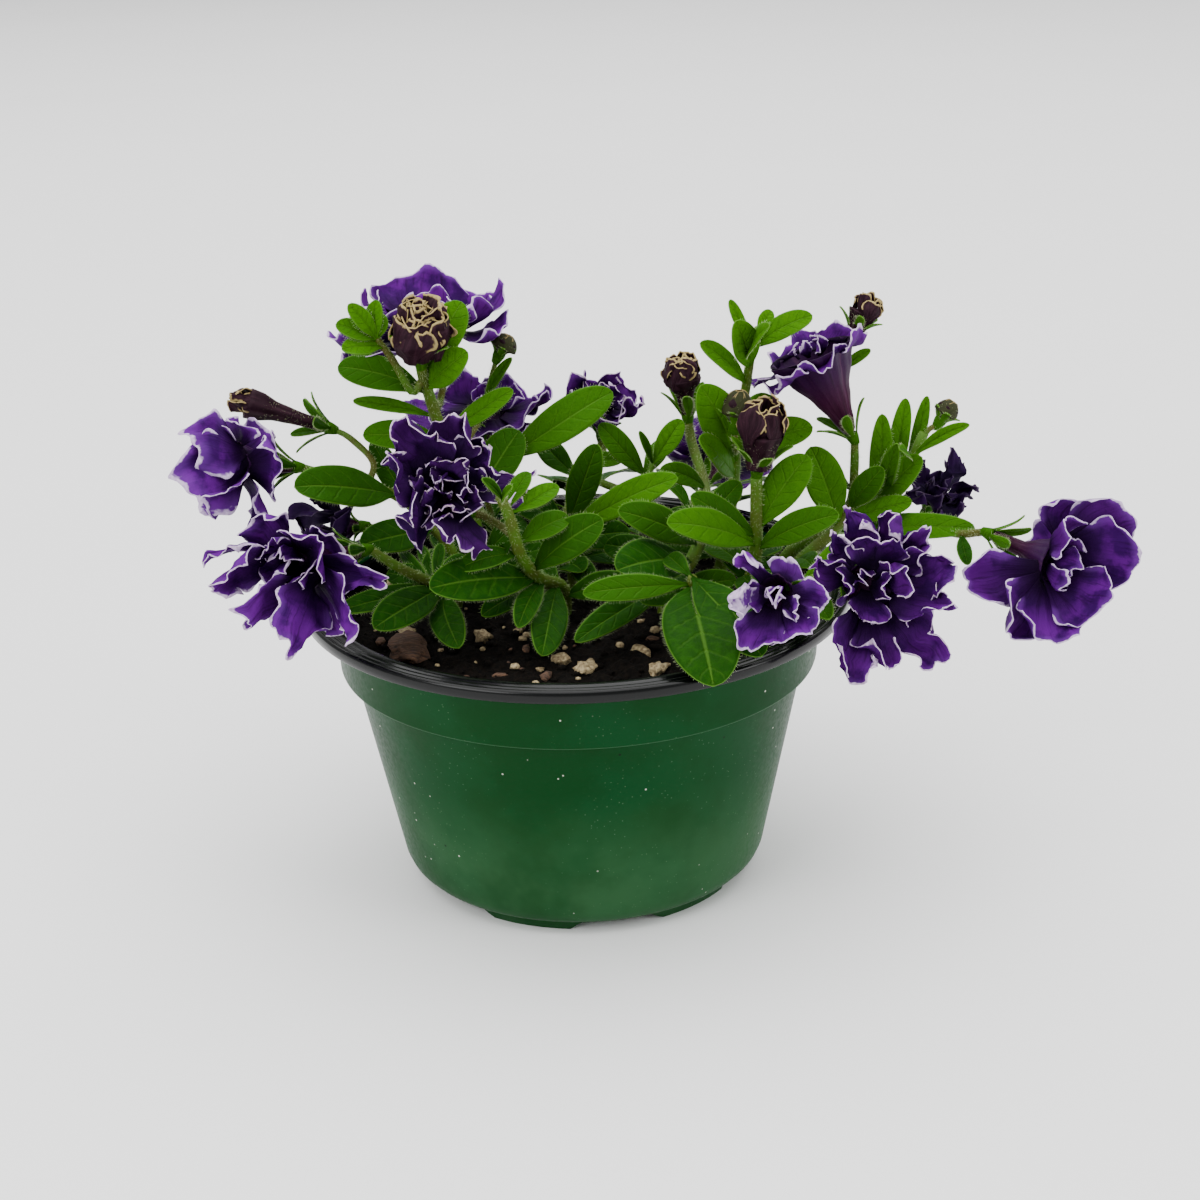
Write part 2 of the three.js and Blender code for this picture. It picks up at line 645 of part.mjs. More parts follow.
function leafyStem(plan) {
  const face = new THREE.Vector3(0, plan.name.startsWith('stem_back') ? 0.5 : -0.7, 1);
  const parts = [];
  const grow = (points, radius, leaves) => {
    const spine = spineOf(points);
    parts.push(tube(spine, radius));
    for (const [t, x, y, z, width, arch] of leaves) {
      parts.push(leaf(pointOn(spine, t), new THREE.Vector3(x, y, z), width, arch, face));
    }
    return spine;
  };
  const main = grow(plan.path.map(vec), plan.radius, plan.leaves);
  parts.push(...lowLeaves(plan, main, face));
  for (const branch of plan.branches ?? []) {
    const points = [pointOn(main, branch.from), ...branch.path.map(vec)];
    grow(points, branch.radius, branch.leaves ?? []);
  }
  for (const flower of [...BLOOMS, ...BUDS].filter((f) => f.stem === plan.name)) {
    const size = vec(flower.throat ?? flower.tip).distanceTo(vec(flower.calyx));
    const length = THREE.MathUtils.clamp(0.6 * size, 5, SEPAL_LENGTH);
    parts.push(calyx(vec(flower.calyx), flowerAxis(flower), length));
  }
  return joined(parts);
}

// Low leaves: a loose rosette around the foot of a stem, turned by the golden turn
function lowLeaves(plan, spine, face) {
  const [count, degrees] = plan.low;
  const leaves = [];
  for (let k = 0; k < count; k += 1) {
    const base = pointOn(spine, (LOW_LEAF_START + LOW_LEAF_STEP * k) / (plan.path.length - 1));
    const turn = radians(degrees) + GOLDEN_TURN * k;
    const length = LOW_LEAF_LENGTH * (1 + 0.35 * chance(degrees, k));
    const rise = LOW_LEAF_RISE * (1 + chance(degrees, k + 9));
    const out = new THREE.Vector3(length * Math.cos(turn), length * Math.sin(turn), rise);
    leaves.push(leaf(base, base.clone().add(out), LOW_LEAF_WIDTH, 3, face));
  }
  return leaves;
}

function flowerAxis(flower) {
  return vec(flower.throat ?? flower.tip).sub(vec(flower.calyx)).normalize();
}

// Blooms

// Half the width of a fan-shaped petal at u, as a part of its greatest half width
function petalOutline(u) {
  return 0.08 + 0.92 * Math.min(1, u / 0.8) ** 1.2;
}

// A ruffled petal: its rim rises and falls in waves, and its corners are rounded back
function petal(base, tip, width, arch, face, ruffle, phase) {
  const frame = frameOf(tip.clone().sub(base), face);
  const length = tip.distanceTo(base);
  const place = (u, v) => {
    const half = 0.5 * width * (u === 0 ? 0 : petalOutline(u));
    const reach = u * (1 - 0.22 * v * v * u);
    const wave = ruffle * u * u * Math.sin(1.3 * Math.PI * v + phase);
    return base.clone()
      .addScaledVector(frame.along, length * reach)
      .addScaledVector(frame.normal, -arch * 4 * u * (1 - u) + wave)
      .addScaledVector(frame.across, half * v);
  };
  const stacks = width < SMALL_PETAL_WIDTH ? 2 : 3;
  return blade(place, frame.normal, 3, stacks, PETAL_THICKNESS);
}

function bloom(plan, seed) {
  const axis = flowerAxis(plan);
  const foot = vec(plan.calyx).addScaledVector(axis, CUP_LENGTH + GAP);
  const throat = vec(plan.throat);
  const face = vec(plan.face).normalize();
  const length = throat.distanceTo(foot);
  const frame = frameOf(axis, up);
  const reach = averageReach(plan);
  const [middle, mouth] = plan.funnel ?? [2.6, 0.3 * reach];
  const heart = length + 0.24 * reach;
  const profile = [[0, 0], [1.6, 0], [middle, length * 0.5], [mouth, length], [0, heart]];
  const parts = [solid(turned(profile, 6).applyMatrix4(basisAt(foot, frame)))];
  plan.lobes.forEach(([x, y, z, width, arch], k) => {
    const tip = new THREE.Vector3(x, y, z);
    const out = frameOf(face, tip.clone().sub(throat)).normal;
    const start = throat.clone().addScaledVector(out, 0.6 * mouth);
    parts.push(petal(start, tip, width, arch, face, RUFFLE, FULL_TURN * chance(seed, k)));
  });
  const around = frameOf(face, up);
  for (let k = 0; k < INNER_PETALS; k += 1) {
    const turn = GOLDEN_TURN * k + FULL_TURN * chance(seed, 40);
    const lean = 0.35 + 0.9 * k / INNER_PETALS;
    const size = reach * (0.42 + 0.22 * k / INNER_PETALS);
    const out = spoke(around, turn);
    const start = throat.clone().addScaledVector(out, 0.4 * mouth);
    const tip = start.clone()
      .addScaledVector(face, size * Math.cos(lean))
      .addScaledVector(out, size * Math.sin(lean));
    parts.push(petal(start, tip, size * 0.85, 0.12 * size, face, 2, FULL_TURN * chance(seed, 20 + k)));
  }
  return joined(parts);
}

function averageReach(plan) {
  const throat = vec(plan.throat);
  const reaches = plan.lobes.map(([x, y, z]) => new THREE.Vector3(x, y, z).distanceTo(throat));
  return reaches.reduce((sum, reach) => sum + reach, 0) / reaches.length;
}

// Buds: a fluted body, and on an opening bud the curled ends of its petals

function bud(plan, seed) {
  const axis = flowerAxis(plan);
  const seat = vec(plan.calyx).addScaledVector(axis, CUP_LENGTH + GAP);
  const tip = vec(plan.tip);
  const length = tip.distanceTo(seat);
  const frame = frameOf(axis, up);
  const foot = 1.5 / plan.radius;
  const profiles = {
    long: [[0, 0], [0, foot], [0.2, 0.42], [0.45, 0.6], [0.7, 0.95], [0.88, 1], [0.97, 0.7], [1, 0]],
    open: [[0, 0], [0, foot], [0.3, 0.5], [0.55, 0.78], [0.78, 1], [0.9, 0.75], [0.93, 0]],
    round: [[0, 0], [0, foot], [0.35, 0.9], [0.65, 1], [0.9, 0.65], [1, 0]],
  };
  const profile = profiles[plan.kind];
  const place = (angle, v) => {
    const [height, part] = profile[Math.round(v * (profile.length - 1))];
    const radius = plan.radius * part * (1 + 0.1 * Math.cos(5 * angle));
    return seat.clone()
      .addScaledVector(frame.along, length * height)
      .addScaledVector(spoke(frame, angle), radius);
  };
  const parts = [solid(closedSurface(place, 10, profile.length - 1))];
  if (plan.kind === 'open') {
    for (let k = 0; k < 5; k += 1) {
      const turn = GOLDEN_TURN * k + FULL_TURN * chance(seed, k);
      const out = spoke(frame, turn);
      const start = seat.clone().addScaledVector(frame.along, 0.55 * length);
      const end = seat.clone()
        .addScaledVector(frame.along, length)
        .addScaledVector(out, plan.radius * (0.35 + 0.5 * chance(seed, 10 + k)));
      const phase = FULL_TURN * chance(seed, 20 + k);
      parts.push(petal(start, end, 1.1 * plan.radius, -0.2 * plan.radius, out, 1, phase));
    }
  }
  return joined(parts);
}

// Pan

function wallRadius(z) {
  return WALL_BASE_RADIUS + WALL_TAPER * (z - WALL_BASE_HEIGHT);
}

function panSolid() {
  const floorTop = FOOT_HEIGHT + WALL;
  const underLip = LIP_TOP - 2 * WALL;
  const outside = [
    [0, 0], [CENTRE_PAD_RADIUS, 0], [CENTRE_PAD_RADIUS + 2, FOOT_HEIGHT],
    [FOOT_RADIUS - FOOT_WIDTH - 1, FOOT_HEIGHT], [FOOT_RADIUS - FOOT_WIDTH, 0], [FOOT_RADIUS, 0],
    [FOOT_RADIUS + 0.4, FOOT_HEIGHT], [67.2, 6.2], [WALL_BASE_RADIUS, WALL_BASE_HEIGHT],
    [wallRadius(SHOULDER_HEIGHT), SHOULDER_HEIGHT - 0.4], [BAND_BOTTOM_RADIUS, SHOULDER_HEIGHT],
    [BAND_TOP_RADIUS, underLip],
    [LIP_RADIUS - 1.4, underLip], [LIP_RADIUS - 1.1, LIP_SKIRT_BOTTOM], [LIP_RADIUS, LIP_SKIRT_BOTTOM],
    [LIP_RADIUS - 0.1, LIP_TOP - 1.2], [LIP_RADIUS - 1.3, LIP_TOP], [LIP_INNER_RADIUS + 1, LIP_TOP],
    [LIP_INNER_RADIUS, LIP_TOP - 1.2],
  ];
  const inside = [
    [BAND_TOP_RADIUS - WALL, 106], [BAND_BOTTOM_RADIUS + 0.3 - WALL, SHOULDER_HEIGHT + WALL + 0.5],
    [wallRadius(SHOULDER_HEIGHT) - WALL, SHOULDER_HEIGHT + WALL - 0.4],
    [WALL_BASE_RADIUS - WALL, WALL_BASE_HEIGHT + 0.4], [66.2, 7.2], [62, floorTop], [0, floorTop],
  ];
  return solid(turned([...outside, ...inside], PAN_SIDES));
}

// A notch lets water out through the foot ring
function notchSolid(degrees) {
  const half = radians(NOTCH_WIDTH_DEGREES / 2);
  const shape = new THREE.Shape();
  shape.absarc(0, 0, FOOT_RADIUS + 3, -half, half, false);
  shape.absarc(0, 0, FOOT_RADIUS - FOOT_WIDTH - 3, half, -half, true);
  const depth = FOOT_HEIGHT + 2;
  const block = new THREE.ExtrudeGeometry(shape, { depth, bevelEnabled: false, curveSegments: 6 });
  return solid(block.translate(0, 0, -2).rotateZ(radians(degrees)));
}

function drainSolid(degrees) {
  const hole = new THREE.CylinderGeometry(DRAIN_RADIUS, DRAIN_RADIUS, 12, 12).rotateX(Math.PI / 2);
  return solid(hole.translate(DRAIN_CIRCLE_RADIUS, 0, FOOT_HEIGHT).rotateZ(radians(degrees)));
}

function pan() {
  let shape = panSolid();
  for (let k = 0; k < NOTCHES; k += 1) {
    const degrees = NOTCH_FIRST_DEGREES + k * 360 / NOTCHES;
    shape = shape.subtract(notchSolid(degrees)).subtract(drainSolid(degrees));
  }
  return shape;
}

// Potting mix: a plug that fills the pan, with a rough top, lumps and a plain hole for each stem

function soilHeight(x, y) {
  const crown = SOIL_CROWN * (1 - (x * x + y * y) / (88 * 88));
  const rough = Math.sin(x * 0.21 + 1.3) * Math.cos(y * 0.17) + 0.7 * Math.sin(x * 0.5 + y * 0.43);
  return SOIL_TOP + crown + SOIL_ROUGHNESS * 0.6 * rough;
}

function pottingMix() {
  const floorTop = FOOT_HEIGHT + WALL + GAP;
  const shoulder = SHOULDER_HEIGHT + WALL;
  const rings = [
    [0, floorTop], [61.2, floorTop], [WALL_BASE_RADIUS - WALL - 0.7, WALL_BASE_HEIGHT + 1],
    [wallRadius(SHOULDER_HEIGHT) - WALL - 0.7, shoulder + 0.6],
    [BAND_BOTTOM_RADIUS - WALL - 0.6, shoulder + 1.2], [BAND_TOP_RADIUS - WALL - 1, SOIL_TOP - 1],
    [70, SOIL_TOP], [52, SOIL_TOP], [34, SOIL_TOP], [17, SOIL_TOP], [0, SOIL_TOP],
  ];
  const place = (angle, v) => {
    const step = Math.round(v * (rings.length - 1));
    const [radius, height] = rings[step];
    const x = radius * Math.cos(angle);
    const y = radius * Math.sin(angle);
    return new THREE.Vector3(x, y, step >= 6 ? soilHeight(x, y) : height);
  };
  const parts = [solid(closedSurface(place, SOIL_SIDES, rings.length - 1))];
  LUMPS.forEach(([x, y, length, width, height], k) => {
    const lump = new THREE.IcosahedronGeometry(0.5, 0);
    lump.scale(length, width, height).rotateZ(FULL_TURN * chance(3, k));
    lump.translate(x, y, soilHeight(x, y) + height * 0.15);
    parts.push(solid(lump));
  });
  let shape = joined(parts);
  for (const plan of STEMS) {
    const [root, next] = spineOf(plan.path.map(vec));
    const radius = plan.radius[0] + 2 * GAP;
    shape = shape.subtract(tube([root.clone().lerp(next, -0.05), next], [radius, radius]));
  }
  return shape;
}

// Materials

function finish(color, roughness, metalness = 0) {
  return new THREE.MeshStandardMaterial({ color, roughness, metalness });
}

const panPlastic = finish('#1c5a2c', 0.35);
const peat = finish('#1b1310', 0.95);
const greenLeaf = finish('#4a8a2a', 0.6);
const violetPetal = finish('#3a0f72', 0.7);
const darkBud = finish('#3a2028', 0.7);

// Assembly

const plant = new THREE.Group();
plant.add(named('pan', pan(), panPlastic));
plant.add(named('potting_mix', pottingMix(), peat));
STEMS.forEach((plan) => plant.add(named(plan.name, leafyStem(plan), greenLeaf)));
BLOOMS.forEach((plan, k) => plant.add(named(plan.name, bloom(plan, k + 1), violetPetal)));
BUDS.forEach((plan, k) => plant.add(named(plan.name, bud(plan, k + 31), darkBud)));

export default plant;
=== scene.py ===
"""A potted double petunia in a shallow nursery pan, dressed over its fixed frame.

Tables and meshes are in millimetres until a piece is finished, which turns it to metres.
"""
import math
from collections import namedtuple

import bmesh
import bpy
from bpy.props import FloatProperty, FloatVectorProperty, IntProperty, PointerProperty
from mathutils import Matrix, Vector, noise


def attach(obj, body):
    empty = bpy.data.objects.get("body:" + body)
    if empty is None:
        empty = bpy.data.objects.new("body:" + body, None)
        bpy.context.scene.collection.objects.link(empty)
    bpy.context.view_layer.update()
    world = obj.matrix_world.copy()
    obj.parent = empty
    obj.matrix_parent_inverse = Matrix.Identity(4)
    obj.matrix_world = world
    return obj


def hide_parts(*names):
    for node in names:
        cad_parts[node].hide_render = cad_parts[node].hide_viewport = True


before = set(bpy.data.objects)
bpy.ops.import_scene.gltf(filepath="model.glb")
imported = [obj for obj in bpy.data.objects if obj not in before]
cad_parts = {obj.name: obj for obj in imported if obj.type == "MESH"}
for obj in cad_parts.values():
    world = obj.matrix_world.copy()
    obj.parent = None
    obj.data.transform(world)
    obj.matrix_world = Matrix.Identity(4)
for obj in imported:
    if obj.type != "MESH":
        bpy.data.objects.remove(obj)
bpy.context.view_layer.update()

bl_info = {
    "name": "Potted petunia",
    "version": (1, 0, 0),
    "blender": (4, 5, 0),
    "location": "3D View > Sidebar > Petunia",
    "description": "Builds a double petunia with its pan, potting mix, leafy stems, blooms and buds",
    "category": "Add Mesh",
}

MM = 0.001
FULL_TURN = 2 * math.pi
GOLDEN_TURN = 2.4
UP = Vector((0, 0, 1))
MESH_VALUES = ("edge", "tone", "blush")
DRIFT_OFFSETS = (Vector((9.3, 1.5, 8.0)), Vector((2.4, 31.4, 15.9)), Vector((26.5, 5.8, 35.9)))

# The finishes on each piece, in the order of its material slots. The petal ends of a bud are petals
# with the bud's skin, so PETAL and BUD_SKIN are the same place.
PAN, LIP = 0, 1
PEAT, PERLITE, BARK = 0, 1, 2
LEAF, STALK, HAIR = 0, 1, 2
PETAL, TUBE = 0, 1
BUD_SKIN, BUD_HAIR = 0, 1

# Stems, with lengths in millimetres and hairs to the millimetre
STALK_SIDE = Vector((0.2, 0.93, -0.3))
STALK_SIDES = 12
LINE_END = 0.97
SHADE_HEIGHT = 112
LIGHT_HEIGHT = 207
LOW_LEAF_START = 0.7
LOW_LEAF_STEP = 0.12
LOW_LEAF_LENGTH = 19
LOW_LEAF_WIDTH = 10.5
LOW_LEAF_RISE = 5
CUP_LENGTH = 3.4
CUP_RADIUS = 2.5
SEPALS = 5
HAIRS_ON_RIM = 1.1
HAIRS_ON_STALK = 7
HAIRS_ON_BUD = 9

# Pan and potting mix, with turns in degrees and the drains in metres
FEET = 6
FOOT_SPACING = 360 // FEET
FOOT_TURN = 79
FOOT_TOP = 3.5
DRAIN_CIRCLE = 0.042
DRAIN_RADIUS = 0.004
DRAIN_DEPTH = 0.012
LEDGE_HEIGHT = 85.0
SOIL_RADIUS = 88.2
SOIL_COLUMNS = 220
SOIL_TOP_RINGS = 76
PERLITE_SHARE = 0.075
BARK_SHARE = 0.055

# Floor, sky and camera, in metres and degrees
FLOOR_SIZE = 12
SKY_STRENGTH = 0.62
CAMERA_DISTANCE = 0.8
CAMERA_TARGET = Vector((0.00847, 0, 0.1041))
CAMERA_TILT = 21.65
CAMERA_ROLL = -1.56
SENSOR_WIDTH = 36
FOCAL_WIDTHS = 2144.6 / 1200

# A radius is at the root and at the end, a path is a smooth line from the root up, and a leaf is its
# place along the path from 0 to 1, the x, y, z of its tip, its width and the rise of its arch. Low
# gives the number of leaves at a stem's foot and the direction of the first in degrees.
Stem = namedtuple("Stem", "name radius low path leaves branches", defaults=[()])
Branch = namedtuple("Branch", "start radius path leaves", defaults=[()])
STEMS = [
    Stem("left_top", (2.8, 1.9), (4, 348),
         [(-32, 18, 92), (-35, 14, 116), (-41, 10, 149), (-48, 6, 171), (-52, 1, 189), (-53, -3, 196)],
         [(0.74, -83, 2, 196, 12, 2), (0.77, -36, -6, 202, 11, 3), (0.84, -38, 7, 217, 13, 3),
          (0.64, -79, 6, 182, 5, 1), (0.54, -75, -4, 172, 11, 2), (0.57, -21, 4, 185, 8, 2),
          (0.34, -20, 22, 164, 15, 3), (0.28, -56, 30, 127, 12, 3)],
         [Branch(0.84, (1.7, 1.2), [(-57, -1, 187), (-63, -4, 200), (-68, -6, 208)],
                 [(1, -81, -12, 215, 7, 1), (1, -76, -12, 222, 6, 1), (1, -67, -7, 222, 6, 1),
                  (1, -66, -3, 216, 6, 1), (0.83, -79, -16, 207, 7, 1)]),
          Branch(0.7, (1.5, 1.3), [(-49, 18, 176), (-47, 31, 183)]),
          Branch(0.47, (1.1, 0.9), [(-35, 30, 166), (-31, 37, 178), (-28, 38, 187)],
                 [(0.45, -22, 30, 190, 4, 1)]),
          Branch(0.38, (1.2, 1.0), [(-35, 17, 145), (-27, 24, 152)],
                 [(1, 15, 26, 177, 15, 4)])]),
    Stem("far_left", (2.3, 1.5), (3, 331),
         [(-46, 4, 92), (-45, 4, 120), (-55, 4, 136), (-66, 2, 147), (-83, -3, 155), (-98, -6, 161)],
         [(0.59, -97, -30, 162, 16, 4), (0.41, -74, 14, 164, 9, 2), (0.35, -77, -18, 135, 13, 2)],
         [Branch(0.71, (1.3, 1.1), [(-73, 4, 159), (-81, 8, 167), (-87, 10, 170)]),
          Branch(0.45, (1.2, 1.1), [(-66, 10, 133), (-73, 14, 130), (-78, 14, 131)])]),
    Stem("low_left", (2.4, 1.6), (2, 32),
         [(-44, -14, 92), (-48, -20, 118), (-52, -26, 123), (-62, -32, 131), (-72, -36, 140)],
         [(0.47, -64, -6, 128, 4, 1), (0.47, -57, -4, 129, 4, 1), (0.45, -49, -8, 131, 4, 1),
          (0.45, -41, -12, 128, 5, 1), (0.42, -37, -30, 128, 5, 1), (0.29, -81, -58, 126, 9, 2),
          (0.27, -69, -62, 121, 13, 2), (0.23, -41, -58, 111, 11, 2)]),
    Stem("centre_front", (3.0, 1.8), (3, 206),
         [(-6, -8, 92), (-5, -14, 114), (-13, -26, 123), (-19, -36, 136), (-22, -42, 152), (-25, -44, 161)],
         [(0.4, -49, -62, 135, 16, 3), (0.66, -2, -30, 148, 9, 2), (0.47, 10, -34, 148, 13, 3),
          (0.36, -20, -58, 118, 8, 2), (0.26, -12, -62, 109, 12, 2), (0.94, -30, -58, 172, 4, 1),
          (0.6, -40, -50, 137, 8, 2), (0.86, -15, -34, 166, 6, 1), (0.83, -5, -32, 160, 7, 1),
          (0.94, -20, -58, 169, 4, 1), (0.69, -36, -30, 123, 9, 2), (0.3, -33, -46, 118, 9, 2)],
         [Branch(0.7, (1.4, 1.3), [(-26, -32, 146), (-32, -27, 148), (-36, -27, 149)])]),
    Stem("centre", (2.8, 1.8), (3, 144),
         [(2, 14, 92), (-2, 14, 115), (-2, 16, 134), (4, 28, 146), (10, 56, 141), (11, 66, 145)],
         [(0.34, 9, 2, 164, 11, 2), (0.32, 37, -14, 156, 12, 4), (0.54, -13, 36, 156, 9, 2),
          (0.26, -25, 24, 117, 11, 3), (0.65, 18, 22, 151, 6, 2), (0.22, 6, -8, 111, 8, 2),
          (0.2, 21, 30, 113, 11, 3), (0.42, 32, 34, 128, 10, 3), (0.28, -24, 44, 131, 12, 3),
          (0.26, 20, 10, 127, 11, 3), (0.5, -4, 46, 133, 11, 3)],
         [Branch(0.57, (1.6, 1.1), [(18, 22, 140), (27, 26, 143), (30, 28, 148)],
                 [(0.67, 10, 24, 165, 9, 2), (0.96, 25, 24, 162, 3, 1), (0.96, 41, 30, 164, 8, 2),
                  (0.59, 35, 40, 153, 7, 2)])]),
    Stem("right_centre", (2.8, 1.7), (2, 1),
         [(30, -6, 92), (35, -12, 114), (42, -14, 124), (48, -2, 135), (49, 20, 141), (45, 36, 153),
          (44, 40, 160)],
         [(0.4, 16, -34, 151, 12, 3), (0.33, 15, -52, 136, 17, 3), (0.2, 0, -62, 114, 10, 2),
          (0.5, 61, 2, 148, 9, 2), (0.65, 32, 8, 152, 8, 2), (0.28, 11, 6, 124, 11, 3)]),
    Stem("front_right", (2.4, 1.6), (1, 94),
         [(38, -36, 92), (38, -40, 119), (40, -44, 125), (41, -46, 130)],
         [(0.72, 45, -98, 112, 24, 6), (1, 62, -84, 116, 16, 5), (0.78, 3, -66, 133, 9, 2),
          (0.5, 22, -50, 124, 8, 2), (1, 33, -30, 132, 7, 2)]),
    Stem("right_front", (2.6, 2.2), (2, 330),
         [(58, 0, 92), (64, -6, 113), (66, -8, 125), (66, -9, 141), (66, -10, 154)],
         [(0.53, 33, -42, 149, 13, 3), (0.59, 42, -20, 151, 10, 2), (0.62, 85, -2, 159, 13, 3),
          (0.5, 94, -24, 144, 11, 3), (0.32, 75, -50, 123, 9, 2), (0.4, 74, 12, 121, 9, 2),
          (0.3, 50, 22, 118, 10, 3)]),
    Stem("top_right", (2.6, 1.4), (3, 175),
         [(52, 24, 92), (57, 22, 119), (60, 19, 145), (61, 20, 161), (64, 18, 178), (66, 12, 196),
          (68, 9, 204)],
         [(0.37, 47, 2, 185, 15, 3), (0.33, 46, -4, 167, 11, 2), (0.41, 88, 10, 166, 12, 3),
          (0.69, 47, 2, 201, 8, 2), (0.75, 59, -8, 211, 10, 2), (0.78, 70, -12, 210, 8, 2),
          (0.82, 87, 6, 209, 9, 2), (0.86, 58, 12, 214, 4, 1), (0.95, 73, 14, 209, 5, 1),
          (0.54, 76, 30, 171, 9, 2), (0.2, 32, 18, 128, 11, 3)],
         [Branch(0.42, (1.2, 1.1), [(60, 9, 159), (59, 5, 167)])]),
    Stem("right", (2.6, 1.5), (2, 143),
         [(68, 16, 92), (85, 16, 112), (98, 18, 123), (104, 19, 134), (105, 20, 146), (105, 20, 157)],
         [(0.42, 88, 14, 157, 14, 3), (0.55, 114, 9, 150, 9, 2), (0.46, 125, 8, 137, 8, 2),
          (0.66, 88, 34, 142, 8, 2)],
         [Branch(0.96, (1.3, 1.0), [(104, 34, 160), (101, 44, 173), (106, 45, 190)],
                 [(0.75, 113, 42, 186, 4, 1)])]),
    Stem("far_right", (2.8, 1.8), (1, 127),
         [(76, 26, 92), (79, 27, 107), (90, 28, 117), (106, 29, 122), (120, 30, 130), (132, 28, 157)],
         [(0.57, 129, 14, 152, 12, 2), (0.71, 115, 20, 167, 8, 2), (0.77, 118, 2, 161, 6, 1),
          (0.83, 125, 30, 170, 7, 2), (0.88, 134, 36, 169, 5, 1), (0.92, 119, 0, 160, 5, 1),
          (0.93, 145, 8, 166, 5, 1), (0.48, 146, -6, 131, 10, 3)],
         [Branch(0.99, (1.0, 1.0), [(134, 29, 158), (137, 30, 159)]),
          Branch(0.5, (1.7, 1.4), [(128, 12, 126), (140, -4, 128), (149, -11, 131)],
                 [(0.72, 142, -18, 121, 5, 1)]),
          Branch(0.45, (1.3, 1.2), [(128, 40, 115), (135, 44, 117)])]),
    Stem("back_left", (2.6, 1.6), (3, 20),
         [(-26, 46, 92), (-30, 52, 108), (-38, 66, 117), (-46, 80, 120)],
         [(0.4, -62, 66, 124, 12, 3), (0.5, -22, 80, 122, 12, 3), (0.7, -78, 84, 120, 13, 4),
          (0.3, -46, 34, 120, 10, 2), (0.8, -26, 100, 119, 12, 4)],
         [Branch(0.4, (1.3, 1.1), [(-35, 55, 128), (-35, 52, 147)])]),
    Stem("back", (2.6, 1.5), (3, 51),
         [(6, 50, 92), (6, 58, 108), (4, 72, 115), (2, 84, 119)],
         [(0.35, -16, 62, 120, 11, 3), (0.45, 32, 70, 121, 12, 3), (0.65, -14, 104, 119, 13, 3),
          (0.8, 26, 104, 120, 13, 4), (1, 4, 120, 116, 12, 4), (0.25, 14, 40, 118, 9, 2)]),
    Stem("back_right", (2.6, 1.6), (3, 82),
         [(40, 46, 92), (43, 52, 108), (47, 66, 117), (52, 80, 120)],
         [(0.4, 76, 58, 124, 12, 3), (0.55, 28, 86, 126, 10, 3), (0.7, 86, 80, 121, 13, 4),
          (0.2, 60, 34, 120, 10, 2), (0.85, 34, 100, 121, 10, 2)]),
    Stem("low_right", (2.3, 1.5), (2, 110),
         [(62, -20, 92), (71, -28, 113), (81, -34, 122), (92, -42, 130)],
         [(0.49, 86, -70, 123, 9, 2), (0.6, 110, -20, 132, 12, 3), (0.8, 116, -28, 112, 11, 3)],
         [Branch(0.85, (1.3, 1.2), [(79, -48, 125), (74, -62, 132)])]),
]

